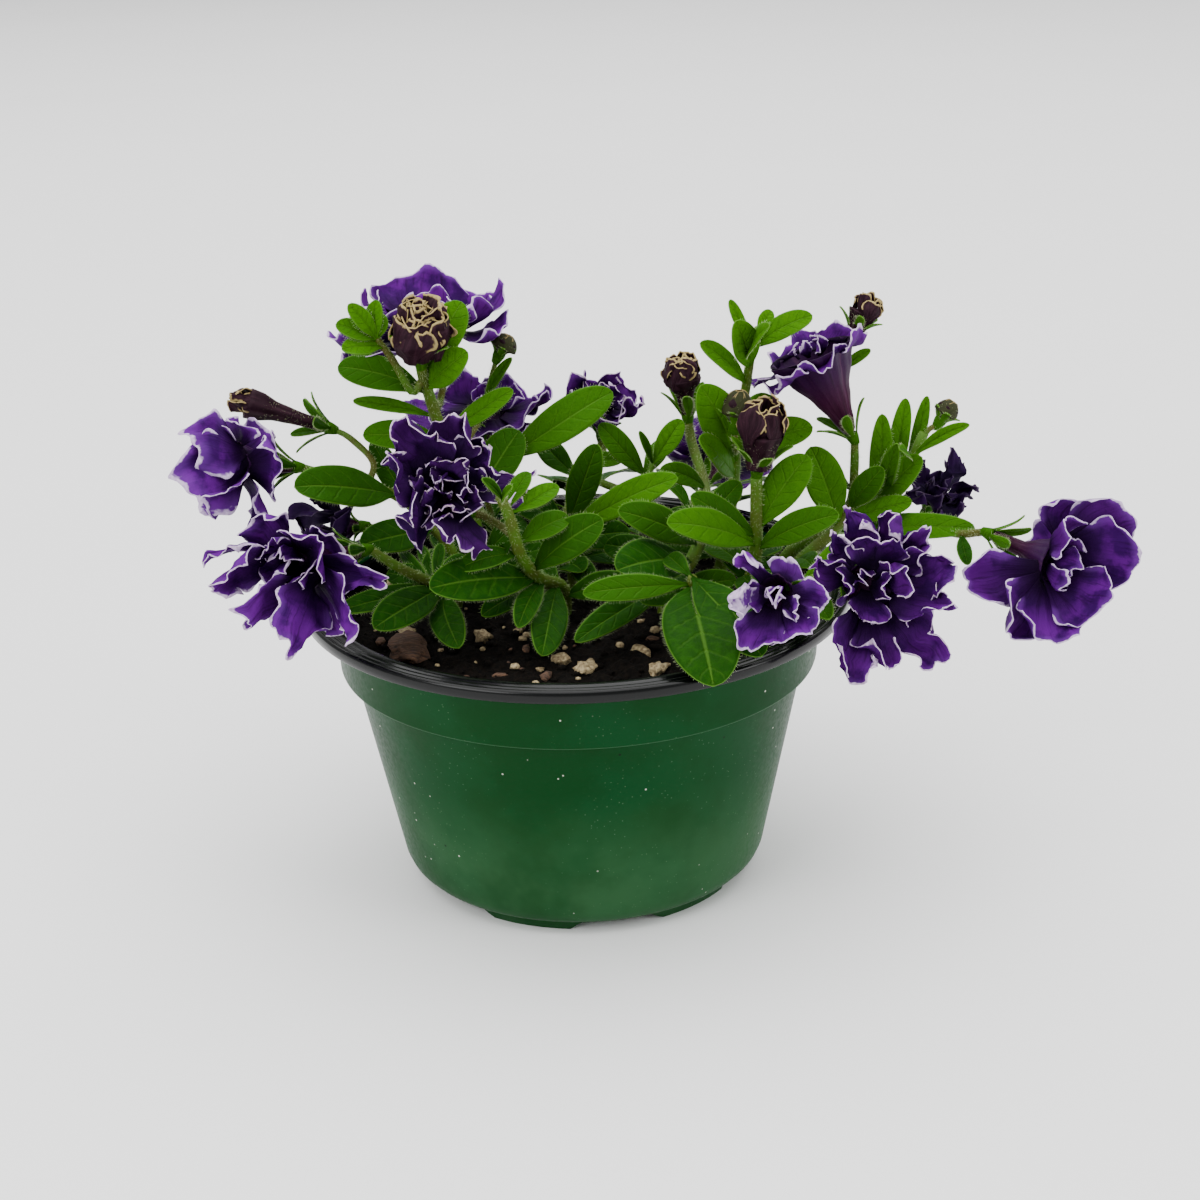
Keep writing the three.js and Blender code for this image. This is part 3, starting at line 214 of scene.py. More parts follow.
# The top is the throat of the bloom. Wilt goes from fresh at 0 to dry at 1, the rim is the width of
# the pale edge and inner counts the small petals of the heart. A lobe is the x, y, z of its tip, its
# width and the depth of its cup. A funnel is the tube's radius half way and at its mouth, spread
# widens the lobes, fold creases them, taper narrows their tips, lobe_face turns them another way
# than the face, heart scales the small petals, and the lobes listed under white are white.
Bloom = namedtuple(
    "Bloom", "name stem calyx top face wilt rim inner lobes spread funnel fold heart taper lobe_face white",
    defaults=[1.35, None, 0.0, 1.0, 0.0, None, ()])
BLOOMS = [
    Bloom("left_top", "left_top", (-47, 31, 183), (-51, 33, 200), (-0.05, 0.25, 0.97), 0.0, 1.0, 6,
          [(-87, 22, 202, 26, 4), (-79, 8, 195, 16, 3), (-59, 13, 210, 28, 3), (-23, 34, 203, 25, 4),
           (-30, 56, 211, 24, 3), (-54, 62, 216, 26, 3), (-72, 56, 206, 24, 3)], spread=1.75),
    Bloom("back_left", "back_left", (-35, 52, 147), (-33, 60, 161), (0.1, -0.25, 0.96), 0.05, 0.8, 3,
          [(-9, 52, 168, 22, 3), (-21, 72, 167, 20, 3), (-42, 72, 172, 20, 3), (-66, 66, 161, 22, 3),
           (-51, 40, 162, 20, 3), (-24, 38, 159, 20, 3)], spread=1.45),
    Bloom("left", "far_left", (-98, -6, 161), (-119, -14, 166), (-0.78, -0.6, 0.1), 0.05, 1.7, 6,
          [(-132, -32, 181, 20, 3), (-134, -40, 168, 22, 3), (-126, -40, 159, 16, 2),
           (-111, -26, 147, 11, 2), (-102, -32, 166, 18, 4), (-107, -10, 177, 18, 3),
           (-121, -12, 182, 18, 3)], spread=1.5, taper=0.15),
    Bloom("low_left", "low_left", (-72, -36, 140), (-95, -50, 141), (-0.5, -0.8, -0.15), 0.3, 1.1, 10,
          [(-112, -48, 155, 20, 3), (-125, -58, 147, 18, 3), (-123, -66, 140, 18, 3),
           (-113, -74, 130, 18, 3), (-95, -82, 122, 20, 3), (-74, -84, 126, 18, 3), (-64, -74, 142, 12, 2),
           (-80, -50, 148, 20, 3)], spread=1.3, fold=0.5, taper=0.3),
    Bloom("centre", "centre_front", (-36, -27, 149), (-43, -38, 161), (-0.05, -0.85, 0.5), 0.66, 0.6, 12,
          [(-64, -48, 176, 18, 3), (-56, -40, 187, 20, 3), (-43, -34, 187, 20, 3), (-30, -34, 178, 18, 3),
           (-17, -32, 160, 15, 1), (-35, -58, 145, 20, 3), (-56, -58, 157, 22, 3)],
          spread=1.3, fold=0.7, heart=0.85, taper=0.3),
    Bloom("back", "centre", (11, 66, 145), (11, 74, 156), (0.05, -0.25, 0.96), 0.5, 0.5, 6,
          [(28, 68, 159, 14, 3), (22, 84, 164, 14, 3), (7, 86, 166, 14, 3), (-5, 78, 161, 14, 3),
           (1, 60, 159, 14, 3), (18, 60, 158, 13, 3)]),
    Bloom("right_top", "right", (105, 20, 157), (88, 22, 191), (-0.34, 0.1, 0.93), 0.15, 0.9, 5,
          [(65, 24, 180, 17, 3), (75, 4, 183, 16, 3), (92, 3, 194, 16, 3), (107, 15, 200, 17, 3),
           (102, 36, 197, 17, 3), (82, 43, 190, 17, 3)], funnel=(7, 15.5), spread=1.3, heart=0.5),
    Bloom("right_front", "low_right", (92, -42, 130), (101, -58, 130), (0.15, -0.97, 0.1), 0.45, 0.65, 7,
          [(95, -54, 157, 14, 3), (108, -54, 155, 14, 3), (121, -60, 150, 20, 3), (130, -66, 138, 22, 3),
           (127, -72, 126, 20, 3), (124, -76, 108, 20, 3), (107, -80, 107, 20, 3), (90, -80, 103, 18, 3),
           (79, -64, 141, 14, 2), (87, -60, 149, 14, 3)], spread=1.12, heart=0.85, fold=0.8, taper=0.5),
    Bloom("small_front", "low_right", (74, -62, 132), (67, -78, 136), (-0.3, -0.93, 0.2), 0.1, 1.3, 4,
          [(54, -84, 152, 7, 2), (51, -92, 137, 10, 2), (58, -96, 124, 18, 3), (73, -92, 125, 18, 3),
           (84, -84, 135, 12, 2), (72, -76, 147, 12, 2)], white=(1,), spread=1.1),
    Bloom("far_right", "far_right", (149, -11, 131), (171, -26, 124), (0.75, -0.6, -0.1), 0.05, 1.1, 6,
          [(182, -20, 145, 22, 3), (198, -26, 142, 20, 3), (199, -38, 130, 20, 3), (186, -48, 116, 20, 3),
           (169, -50, 104, 20, 3), (152, -48, 106, 18, 3), (137, -42, 123, 16, 4), (168, -14, 133, 18, 3)],
          spread=1.35, lobe_face=(0.3, -0.85, 0.3)),
    Bloom("right_back", "far_right", (135, 44, 117), (140, 46, 125), (0.3, -0.3, 0.9), 0.9, 0.4, 6,
          [(128, 42, 131, 8, 2), (139, 54, 134, 8, 2), (151, 56, 137, 8, 2), (154, 44, 127, 8, 2),
           (147, 32, 123, 8, 2)]),
    Bloom("left_back", "far_left", (-78, 14, 131), (-86, 12, 131), (-0.9, -0.2, 0.1), 0.9, 0.4, 6,
          [(-96, 18, 140, 9, 2), (-105, 12, 136, 10, 2), (-103, 6, 127, 10, 2), (-93, 4, 125, 9, 2)]),
    Bloom("rear_left", "back_left", (-46, 80, 120), (-53, 93, 127), (-0.2, 0.8, 0.6), 0.1, 1.4, 8,
          [(-32, 99, 135, 20, 4), (-45, 86, 148, 20, 4), (-67, 84, 143, 20, 4), (-76, 95, 125, 20, 4),
           (-63, 108, 112, 20, 4), (-41, 110, 117, 20, 4)]),
    Bloom("rear_right", "back_right", (52, 80, 120), (59, 93, 127), (0.2, 0.8, 0.6), 0.1, 1.4, 8,
          [(81, 88, 135, 20, 4), (63, 83, 148, 20, 4), (42, 92, 143, 20, 4), (39, 106, 125, 20, 4),
           (57, 111, 112, 20, 4), (78, 102, 117, 20, 4)]),
]

# Ends counts the petal ends in a bud's head, closing leans them in, crumple creases them, stagger
# sets the outer ones lower and the rim is the width of their cream edge.
Bud = namedtuple(
    "Bud", "name stem calyx top radius kind ends closing crumple rim stagger",
    defaults=[0, 0.3, 0.12, 0.55, 0])
BUDS = [
    Bud("far_left", "far_left", (-87, 10, 170), (-124, 0, 187), 6, "long", ends=9, closing=0.5),
    Bud("left_top", "left_top", (-53, -3, 196), (-51, -10, 223), 10.5, "ball", ends=34, crumple=0.4,
        closing=0.1, rim=0.9, stagger=0.5),
    Bud("centre", "right_centre", (44, 40, 160), (41, 41, 187), 8.4, "slender", ends=11, closing=0.3),
    Bud("right_front", "right_front", (66, -10, 154), (69, -12, 185), 8.8, "cup", ends=12, closing=0.2),
    Bud("right_small", "top_right", (59, 5, 167), (61, 5, 182), 5.2, "round"),
    Bud("right_top", "right", (106, 45, 190), (114, 46, 206), 6.5, "cup", ends=7, closing=0.1),
    Bud("far_right", "far_right", (137, 30, 159), (143, 31, 168), 4, "round"),
    Bud("back_left", "left_top", (-28, 38, 187), (-23, 39, 196), 4.6, "round"),
]

# Height and radius of each kind of bud, as parts of its length and greatest radius
BUD_PROFILES = {
    "long": [(0, 0.3), (0.25, 0.4), (0.5, 0.55), (0.68, 0.86), (0.8, 0.92), (0.82, 0)],
    "slender": [(0, 0.3), (0.3, 0.36), (0.42, 0.5), (0.52, 0.78), (0.6, 0.86), (0.62, 0)],
    "cup": [(0, 0.5), (0.2, 0.6), (0.38, 0.74), (0.5, 0.86), (0.52, 0)],
    "ball": [(0, 0.25), (0.1, 0.4), (0.18, 0.55), (0.24, 0.6), (0.26, 0)],
    "round": [(0, 0.3), (0.35, 0.9), (0.65, 1), (0.9, 0.65), (1, 0)],
}
CUP_PROFILE = [(0, -2), (1.5, -1.2), (2.0, 0.4), (2.4, 1.8), (2.5, 3.0), (1.9, 3.6), (0, 3.3)]

# Radius and height around the pan's wall, and around the body of the potting mix
PAN_OUTSIDE = [
    (0, 0), (15, 0), (16.4, 3.2), (17.4, 3.6), (56.2, 3.6), (57.2, 3.2), (57.8, 0.4), (58.4, 0), (61.8, 0),
    (62.3, 0.4), (62.7, 3.2), (63.4, 3.9), (66.6, 5.6), (68.3, 7.4), (69.4, 10), (70.3, 14.5),
    (76.5, 45.3), (84.2, 83.6), (84.7, 84.5), (85.6, 84.8), (88.1, 84.9), (88.8, 85.2), (89.05, 86.0),
    (90.45, 108.2), (90.9, 109.0), (91.8, 109.3), (99.2, 109.4), (99.9, 109.2), (100.2, 108.6),
    (100.35, 107.9), (100.6, 107.7), (101.2, 107.7), (101.45, 107.95), (101.5, 109.6), (101.42, 110.9),
    (101.1, 111.6), (100.4, 111.95), (99.8, 112.0),
]
LIP_RIDGES = [
    (99.3, 111.65), (98.9, 111.65), (98.4, 112.0), (97.6, 112.0), (97.2, 111.72), (96.8, 111.72),
    (96.3, 112.0), (94.4, 112.0), (93.2, 111.85), (92.5, 111.4), (92.1, 110.8), (91.9, 109.8),
]
PAN_INSIDE = [
    (91.2, 108.8), (90.0, 107.6), (89.35, 106), (88.1, 87.4), (87.7, 86.5), (86.9, 86.2), (84.5, 86.1),
    (83.6, 85.5), (83.2, 84.4), (68.2, 10.4), (66.9, 7.8), (64.4, 5.6),
]
SOIL_RINGS = [(0, 5.1), (61, 5.1), (67.4, 11), (82.4, 86.8), (87.1, 87.4), (SOIL_RADIUS, 99.6)]

# x, y, length, width, height of each lump of perlite, and of the first one, a chip of bark
LUMPS = [
    (-60, -40, 26, 13, 6), (-62, -22, 7, 6, 4), (-34, -32, 8, 6, 5), (-6, -52, 7, 6, 4), (3, -60, 9, 7, 5),
    (22, -46, 8, 5, 4), (28, -62, 8, 6, 5), (-70, 28, 8, 6, 5), (60, 52, 8, 6, 4),
]


def length_property(name, description, default):
    return FloatProperty(name=name, description=description, default=default, unit="LENGTH")


def count_property(name, description, default, least):
    return IntProperty(name=name, description=description, default=default, min=least)


def colour_property(name, description, default):
    return FloatVectorProperty(
        name=name, description=description, default=default, size=3, subtype="COLOR", min=0, max=1)


class PetuniaSizes(bpy.types.PropertyGroup):
    """The sizes that a user would change"""

    pan_steps: count_property("Pan Steps", "Faces around the pan", 144, 24)
    wall: length_property("Wall", "Thickness of the pan's wall", 0.0012)
    leaf_thickness: length_property("Leaf Thickness", "Thickness of a leaf", 0.0005)
    petal_thickness: length_property("Petal Thickness", "Thickness of a petal", 0.00035)
    ruffle: length_property("Ruffle", "Height of the waves on a petal's rim", 0.0026)
    hair_length: length_property("Hair Length", "Length of the hairs on stems and leaves", 0.0013)
    hair_width: length_property("Hair Width", "Thickness of a hair at its root", 0.0001)
    crumbs: count_property("Crumbs", "Loose crumbs on the potting mix", 900, 0)


class PetuniaColours(bpy.types.PropertyGroup):
    """The colours that a user would change"""

    pan: colour_property("Pan", "Green plastic of the pan", (0.0001, 0.032, 0.0045))
    lip: colour_property("Lip", "Dark plastic of the pan's lip and inside", (0.0010, 0.0014, 0.0014))
    leaf: colour_property("Leaf", "Upper side of a leaf", (0.046, 0.165, 0.0))
    leaf_dark: colour_property("Dark Leaf", "Old and shaded leaves", (0.0018, 0.029, 0.0))
    leaf_vein: colour_property("Leaf Vein", "Midrib and rim of a leaf", (0.085, 0.20, 0.022))
    stem: colour_property("Stem", "Young stems", (0.060, 0.14, 0.010))
    stem_blush: colour_property("Stem Blush", "Tint of the flower stalks", (0.085, 0.030, 0.012))
    petal: colour_property("Petal", "Violet of the petals", (0.027, 0.0007, 0.066))
    petal_bright: colour_property("Bright Petal", "Purple towards a petal's rim", (0.100, 0.0030, 0.190))
    petal_deep: colour_property("Deep Petal", "Near-black heart of a petal", (0.0050, 0.0006, 0.009))
    petal_rim: colour_property("Petal Rim", "Pale edge of a petal", (0.60, 0.48, 0.68))
    tube: colour_property("Tube", "Maroon of a bloom's tube", (0.034, 0.0035, 0.020))
    bud: colour_property("Bud", "Maroon-brown of the buds", (0.012, 0.0022, 0.0065))
    bud_rim: colour_property("Bud Rim", "Cream margins on the buds", (0.38, 0.29, 0.12))


def sizes():
    return bpy.context.scene.petunia_sizes


def in_mm(name):
    return getattr(sizes(), name) / MM


def colour(name):
    return tuple(getattr(bpy.context.scene.petunia_colours, name))


def chance(seed, index):
    """A repeatable number from 0 to 1 for a pair of whole numbers"""
    x = math.sin(seed * 12.9898 + index * 78.233) * 43758.5453
    return x - math.floor(x)


def drift(point):
    """A vector that wanders smoothly from place to place, the same on every run"""
    return Vector([noise.noise(point + offset) for offset in DRIFT_OFFSETS])


def smooth(x):
    x = min(1.0, max(0.0, x))
    return x * x * (3 - 2 * x)


def between(pair, t):
    return pair[0] + (pair[1] - pair[0]) * t


def polar(radius, angle, height=0.0):
    return Vector((radius * math.cos(angle), radius * math.sin(angle), height))


class Axes:
    """An axis with two directions square to it; the first is the one nearest to the given side"""

    def __init__(self, axis, side):
        self.along = axis.normalized()
        self.normal = (side - self.along * side.dot(self.along)).normalized()
        self.across = self.along.cross(self.normal)

    def spoke(self, angle):
        return self.normal * math.cos(angle) + self.across * math.sin(angle)


def line_point(points, t):
    """A point at t from 0 to 1 on the smooth line through the points"""
    points = [2 * points[0] - points[1], *points, 2 * points[-1] - points[-2]]
    place = min(max(t, 0.0), 1.0) * (len(points) - 3)
    k = min(int(place), len(points) - 4)
    w = place - k
    a, b, c, d = points[k:k + 4]
    into, out = 0.5 * (c - a), 0.5 * (d - b)
    return (b + into * w + (3 * (c - b) - 2 * into - out) * w ** 2
            + (2 * (b - c) + into + out) * w ** 3)


def line_axes(points, t):
    """The axes square to the smooth line through the points at t"""
    return Axes(line_point(points, t + 0.02) - line_point(points, t - 0.02), STALK_SIDE)


def line_length(points):
    return sum((b - a).length for a, b in zip(points, points[1:]))


def curve_value(pairs, x):
    """The height of a curve through pairs of x and height, half smooth and half straight"""
    for (x0, y0), (x1, y1) in zip(pairs, pairs[1:]):
        if x <= x1:
            part = (x - x0) / (x1 - x0)
            return between((y0, y1), 0.5 * (smooth(part) + part))
    return pairs[-1][1]


# Meshes

def new_piece():
    """An empty mesh with a map over each blade and the values that the finishes read"""
    bm = bmesh.new()
    bm.loops.layers.uv.new("blade")
    for name in MESH_VALUES:
        bm.verts.layers.float.new(name)
    return bm


def to_mesh(bm, name):
    mesh = bpy.data.meshes.new(name)
    bm.to_mesh(mesh)
    bm.free()
    return mesh


def new_object(name, data):
    thing = bpy.data.objects.new(name, data)
    bpy.context.scene.collection.objects.link(thing)
    return thing


def add(bm, part, slot):
    """Moves a small mesh into the piece that it belongs to, with one finish"""
    for face in part.faces:
        face.material_index = slot
    mesh = to_mesh(part, "part")
    bm.from_mesh(mesh)
    bpy.data.meshes.remove(mesh)


def sheet(bm, columns, rows, place, slot, tone=0.5, blush=0.0, thickness=0.0):
    """Lays a grid on place(across, along), each from 0 to 1, which gives a point and its distance
    from the rim. A thickness turns the grid into a blade; without one it closes on itself"""
    part = new_piece()
    bmesh.ops.create_grid(part, x_segments=columns, y_segments=rows, size=0.5, calc_uvs=True)
    rims, tones, blushes = (part.verts.layers.float[name] for name in MESH_VALUES)
    for vert in part.verts:
        vert.co, vert[rims] = place(vert.co.x + 0.5, vert.co.y + 0.5)
        vert[tones] = tone
        vert[blushes] = blush
    bmesh.ops.remove_doubles(part, verts=part.verts, dist=1e-4)
    if thickness:
        part.normal_update()
        front = part.verts[:]
        back = bmesh.ops.duplicate(part, geom=part.faces)["geom"]
        for vert in front:
            vert.co += vert.normal * thickness
        bmesh.ops.reverse_faces(part, faces=[item for item in back if isinstance(item, bmesh.types.BMFace)])
        bmesh.ops.bridge_loops(part, edges=[edge for edge in part.edges if edge.is_boundary])
    add(bm, part, slot)


def hairs(bm, tuft, slot):
    """Adds a tuft of fine hairs, each given as its root, direction and length"""
    part = new_piece()
    radius = 0.5 * in_mm("hair_width")
    for root, direction, length in tuft:
        direction.normalize()
        turn = direction.to_track_quat("Z", "Y").to_matrix().to_4x4()
        bmesh.ops.create_cone(
            part, cap_ends=True, cap_tris=True, segments=3, radius1=radius, radius2=0.0, depth=length,
            matrix=Matrix.Translation(root + direction * (length * 0.45)) @ turn)
    add(bm, part, slot)


def finished(bm, name, nodes, finishes):
    """Makes the object in metres, riding on the plant's one body in place of the CAD nodes"""
    bmesh.ops.scale(bm, vec=(MM, MM, MM), verts=bm.verts)
    mesh = to_mesh(bm, name)
    mesh.shade_smooth()
    for finish in finishes:
        mesh.materials.append(finish)
    piece = new_object(name, mesh)
    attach(piece, "root")
    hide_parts(*nodes)
    return piece


# Leaves and stems

def leaf_outline(u):
    """Half the width of a spoon-shaped leaf at u, as a part of its greatest half width"""
    widest = 0.6
    if u < widest:
        return math.sin(0.5 * math.pi * u / widest) ** 1.2
    return math.sqrt(max(0, 1 - ((u - widest) / (1 - widest)) ** 2.2))


def leaf(bm, base, tip, width, arch, face, seed, rows=18, columns=12, hairiness=1.0):
    """A leaf with a sunken midrib, quilted sides and a fringe of hairs"""
    axes = Axes(tip - base, face)
    length = (tip - base).length
    phase = FULL_TURN * chance(seed, 3)
    bend = 0.24 * (chance(seed, 11) - 0.5)
    stalk = min(0.8, 0.12 * width)

    def surface(u, v):
        half = max(0.5 * width * leaf_outline(u), stalk if u < 0.3 else 0) if u < 1 else 0
        rim = half * abs(v)
        wave = 0.08 * half * math.sin(8 * u + phase) * v * abs(v) * u
        rib = -0.3 * math.exp(-(rim / 0.6) ** 2) * math.sin(math.pi * min(1, u))
        veins = math.sin(FULL_TURN * (6.5 * u - 1.1 * abs(v)))
        quilt = 0.32 * veins * abs(v) * (1 - abs(v)) * half / max(width, 12)
        droop = -0.22 * length * max(0, u - 0.7) ** 2
        cup = 0.2 * rim - 0.026 * rim * rim * (8 / max(width, 4))
        sway = bend * math.sin(0.5 * math.pi * u) * (1 - u) * length
        lift = arch * 4 * u * (1 - u) + cup + wave + rib + quilt + droop
        return base.lerp(tip, u) + axes.normal * lift + axes.across * (half * v + sway), half

    def place(across, along):
        u, v = 1 - (1 - along) ** 1.5, 2 * across - 1
        point, half = surface(u, v)
        return point, min((1 - abs(v)) * half + (0.5 if u < 0.2 else 0), (1 - u) * length)

    # Leaves are brightest high up and on the right, where the light falls on young shoots
    lit = (tip.z - SHADE_HEIGHT) / (LIGHT_HEIGHT - SHADE_HEIGHT) + tip.x / 400
    tone = min(1, max(0, lit + 0.5 * (chance(seed, 7) - 0.3)))
    sheet(bm, columns, rows, place, LEAF, tone, thickness=in_mm("leaf_thickness"))
    count = 2 * int(hairiness * length * HAIRS_ON_RIM)
    fringe = []
    for k in range(count):
        v = 1 if k % 2 else -1
        u = 0.12 + 0.87 * (k + chance(seed, k)) / count
        point, half = surface(min(u, 0.995), v)
        forward = smooth((u - 0.8) / 0.2)
        out = axes.across * (v * (1 - 0.8 * forward)) + axes.along * (0.2 + forward)
        stray = Vector([chance(seed, k + skip) - 0.5 for skip in (50, 90, 130)])
        fringe.append((point, out + 0.7 * stray, (0.6 + 0.6 * chance(seed, k + 7)) * in_mm("hair_length")))
    hairs(bm, fringe, HAIR)


def stalk(bm, points, radius, blush, seed):
    """A round hairy stalk along a smooth line, with closed ends"""
    rows = 5 * (len(points) - 1) + 2
    length = line_length(points)

    def place(across, along):
        ring = round(along * rows)
        t = min(max((ring - 1) / (rows - 2), 0), 1)
        point = line_point(points, t)
        closing = 0 if ring in (0, rows) else 1
        knot = 1 + 0.08 * noise.noise(point * 0.3)
        out = line_axes(points, t).spoke(across * FULL_TURN)
        return point + out * between(radius, t) * closing * knot, length * (1 - t)

    sheet(bm, STALK_SIDES, rows, place, STALK, blush=blush)
    tuft = []
    for k in range(int(length * HAIRS_ON_STALK)):
        t = min((k + chance(seed, k)) / (length * HAIRS_ON_STALK), 0.995)
        axes = line_axes(points, t)
        out = axes.spoke(FULL_TURN * chance(seed, k + 400))
        lean = 0.35 * (chance(seed, k + 800) - 0.5)
        tuft.append((line_point(points, t) + out * between(radius, t) * 0.97, out + axes.along * lean,
                     (0.6 + 0.7 * chance(seed, k + 31)) * in_mm("hair_length")))
    hairs(bm, tuft, HAIR)


def flower_line(flower):
    """The line from a flower's cup to the throat of the bloom or the tip of the bud"""
    return Vector(flower.top) - Vector(flower.calyx)


def calyx(bm, flower, seed):
    """A small green cup with narrow sepals that bend outwards"""
    base = Vector(flower.calyx)
    axes = Axes(flower_line(flower), UP)
    length = min(max(0.62 * flower_line(flower).length, 6), 15)

    def place(across, along):
        radius, height = CUP_PROFILE[round(along * (len(CUP_PROFILE) - 1))]
        return base + axes.along * height + axes.spoke(across * FULL_TURN) * radius, 3.0

    sheet(bm, 12, len(CUP_PROFILE) - 1, place, LEAF, 0.7)
    for k in range(SEPALS):
        out = axes.spoke(k * FULL_TURN / SEPALS + 0.3 * (chance(seed, k) - 0.5))
        spread = math.radians(40 + 16 * (chance(seed, 20 + k) - 0.5))
        root = base + axes.along * 1.2 + out * (CUP_RADIUS - 0.7)
        tip = root + axes.along * (length * math.cos(spread)) + out * (length * math.sin(spread))
        leaf(bm, root, tip, 2.2 + 0.11 * length, 1.1, axes.along, seed + k, rows=10, columns=6,
             hairiness=1.6)


def leafy_stem(plan, number):
    bm = new_piece()
    face = Vector((0, 0.5 if plan.name.startswith("back") else -1.15, 1))
    seed = 100 + 37 * number

    def grow(points, part, seed, blush):
        """A stalk with its leaves"""
        stalk(bm, points, part.radius, blush, seed)
        for k, (t, x, y, z, width, arch) in enumerate(part.leaves):
            tilt = Vector((0.5 * (chance(seed, k + 61) - 0.5), 0, 0.3 * (chance(seed, k + 71) - 0.5)))
            base = line_point(points, min(t, LINE_END))
            leaf(bm, base, Vector((x, y, z)), width * 1.08, arch, face + tilt, seed + k + 1)

    main = [Vector(point) for point in plan.path]
    grow(main, plan, seed, 0.5)
    count, degrees = plan.low
    for k in range(count):
        base = line_point(main, (LOW_LEAF_START + LOW_LEAF_STEP * k) / (len(main) - 1))
        length = LOW_LEAF_LENGTH * (1 + 0.35 * chance(degrees, k))
        rise = LOW_LEAF_RISE * (1 + chance(degrees, k + 9))
        tip = base + polar(length, math.radians(degrees) + GOLDEN_TURN * k, rise)
        leaf(bm, base, tip, LOW_LEAF_WIDTH, 3, face, seed + 40 + k)
    for k, branch in enumerate(plan.branches):
        points = [line_point(main, min(branch.start, LINE_END)), *map(Vector, branch.path)]
        grow(points, branch, seed + 11 * (k + 1), 0.8)
    for k, flower in enumerate(flower for flower in BLOOMS + BUDS if flower.stem == plan.name):
        calyx(bm, flower, seed + 60 + 7 * k)
    return bm


# Blooms

def petal_outline(u):
    """Half the width of a fan-shaped petal at u, as a part of its greatest half width"""
    return 0.3 + 0.7 * smooth(u / 0.7) - 0.05 * max(0, (u - 0.7) / 0.3) ** 2


def petal(bm, seat, tip, width, arch, face, seed, rim, wilt, phase, foot=None, fold=0.0, tone=0.5,
          rows=16, columns=24, ruffle=None, taper=0.0):
    """A ruffled petal with a pale rim. foot(v) gives the line on the tube that it grows from"""
    axes = Axes(tip - seat, face)
    length = (tip - seat).length
    ruffle = ruffle if ruffle is not None else in_mm("ruffle")
    curl = 2.6 * (chance(seed, 5) - 0.45)
    twist = 0.5 * (chance(seed, 4) - 0.5)
    stray = Vector((13 * chance(seed, 6), 17 * chance(seed, 8), 11 * chance(seed, 9)))

    def place(across, along):
        u, v = along, 2 * across - 1
        half = 0.5 * width * petal_outline(u) * (1 - taper * smooth((u - 0.45) / 0.55))
        scallop = (1 + 0.04 * u ** 3 * math.sin(5.2 * v + phase)
                   + 0.015 * u ** 4 * math.sin(12 * v + 2 * phase))
        reach = u * (1 - 0.36 * abs(v) ** 2.4 * u) * scallop
        wave = (ruffle * u * u * math.sin(1.3 * math.pi * v + phase)
                + 0.38 * ruffle * u ** 3 * math.sin(3.3 * math.pi * v + 1.7 * phase)
                + 0.13 * ruffle * u ** 5 * math.sin(7 * math.pi * v + 2.9 * phase))
        lift = (-arch * 4 * u * (1 - u) + fold * half * abs(v) + wave + twist * min(half, 9) * v * u
                + curl * max(0, (u - 0.75) / 0.25) ** 2)
        point = seat + axes.along * (length * reach) + axes.normal * lift + axes.across * (half * v)
        if foot:
            point = foot(v).lerp(point, smooth(u / 0.45))
        crease = drift(point * 0.13 + stray) + 0.22 * drift(point * 0.36 + stray)
        side = (1 - abs(v)) * half + 30 * max(0, 0.45 - u)
        return point + crease * ((1.2 + 7 * wilt) * u), min(side, (1 - u) * length) / max(rim, 0.05)

    sheet(bm, columns, rows, place, PETAL, tone, wilt, in_mm("petal_thickness"))


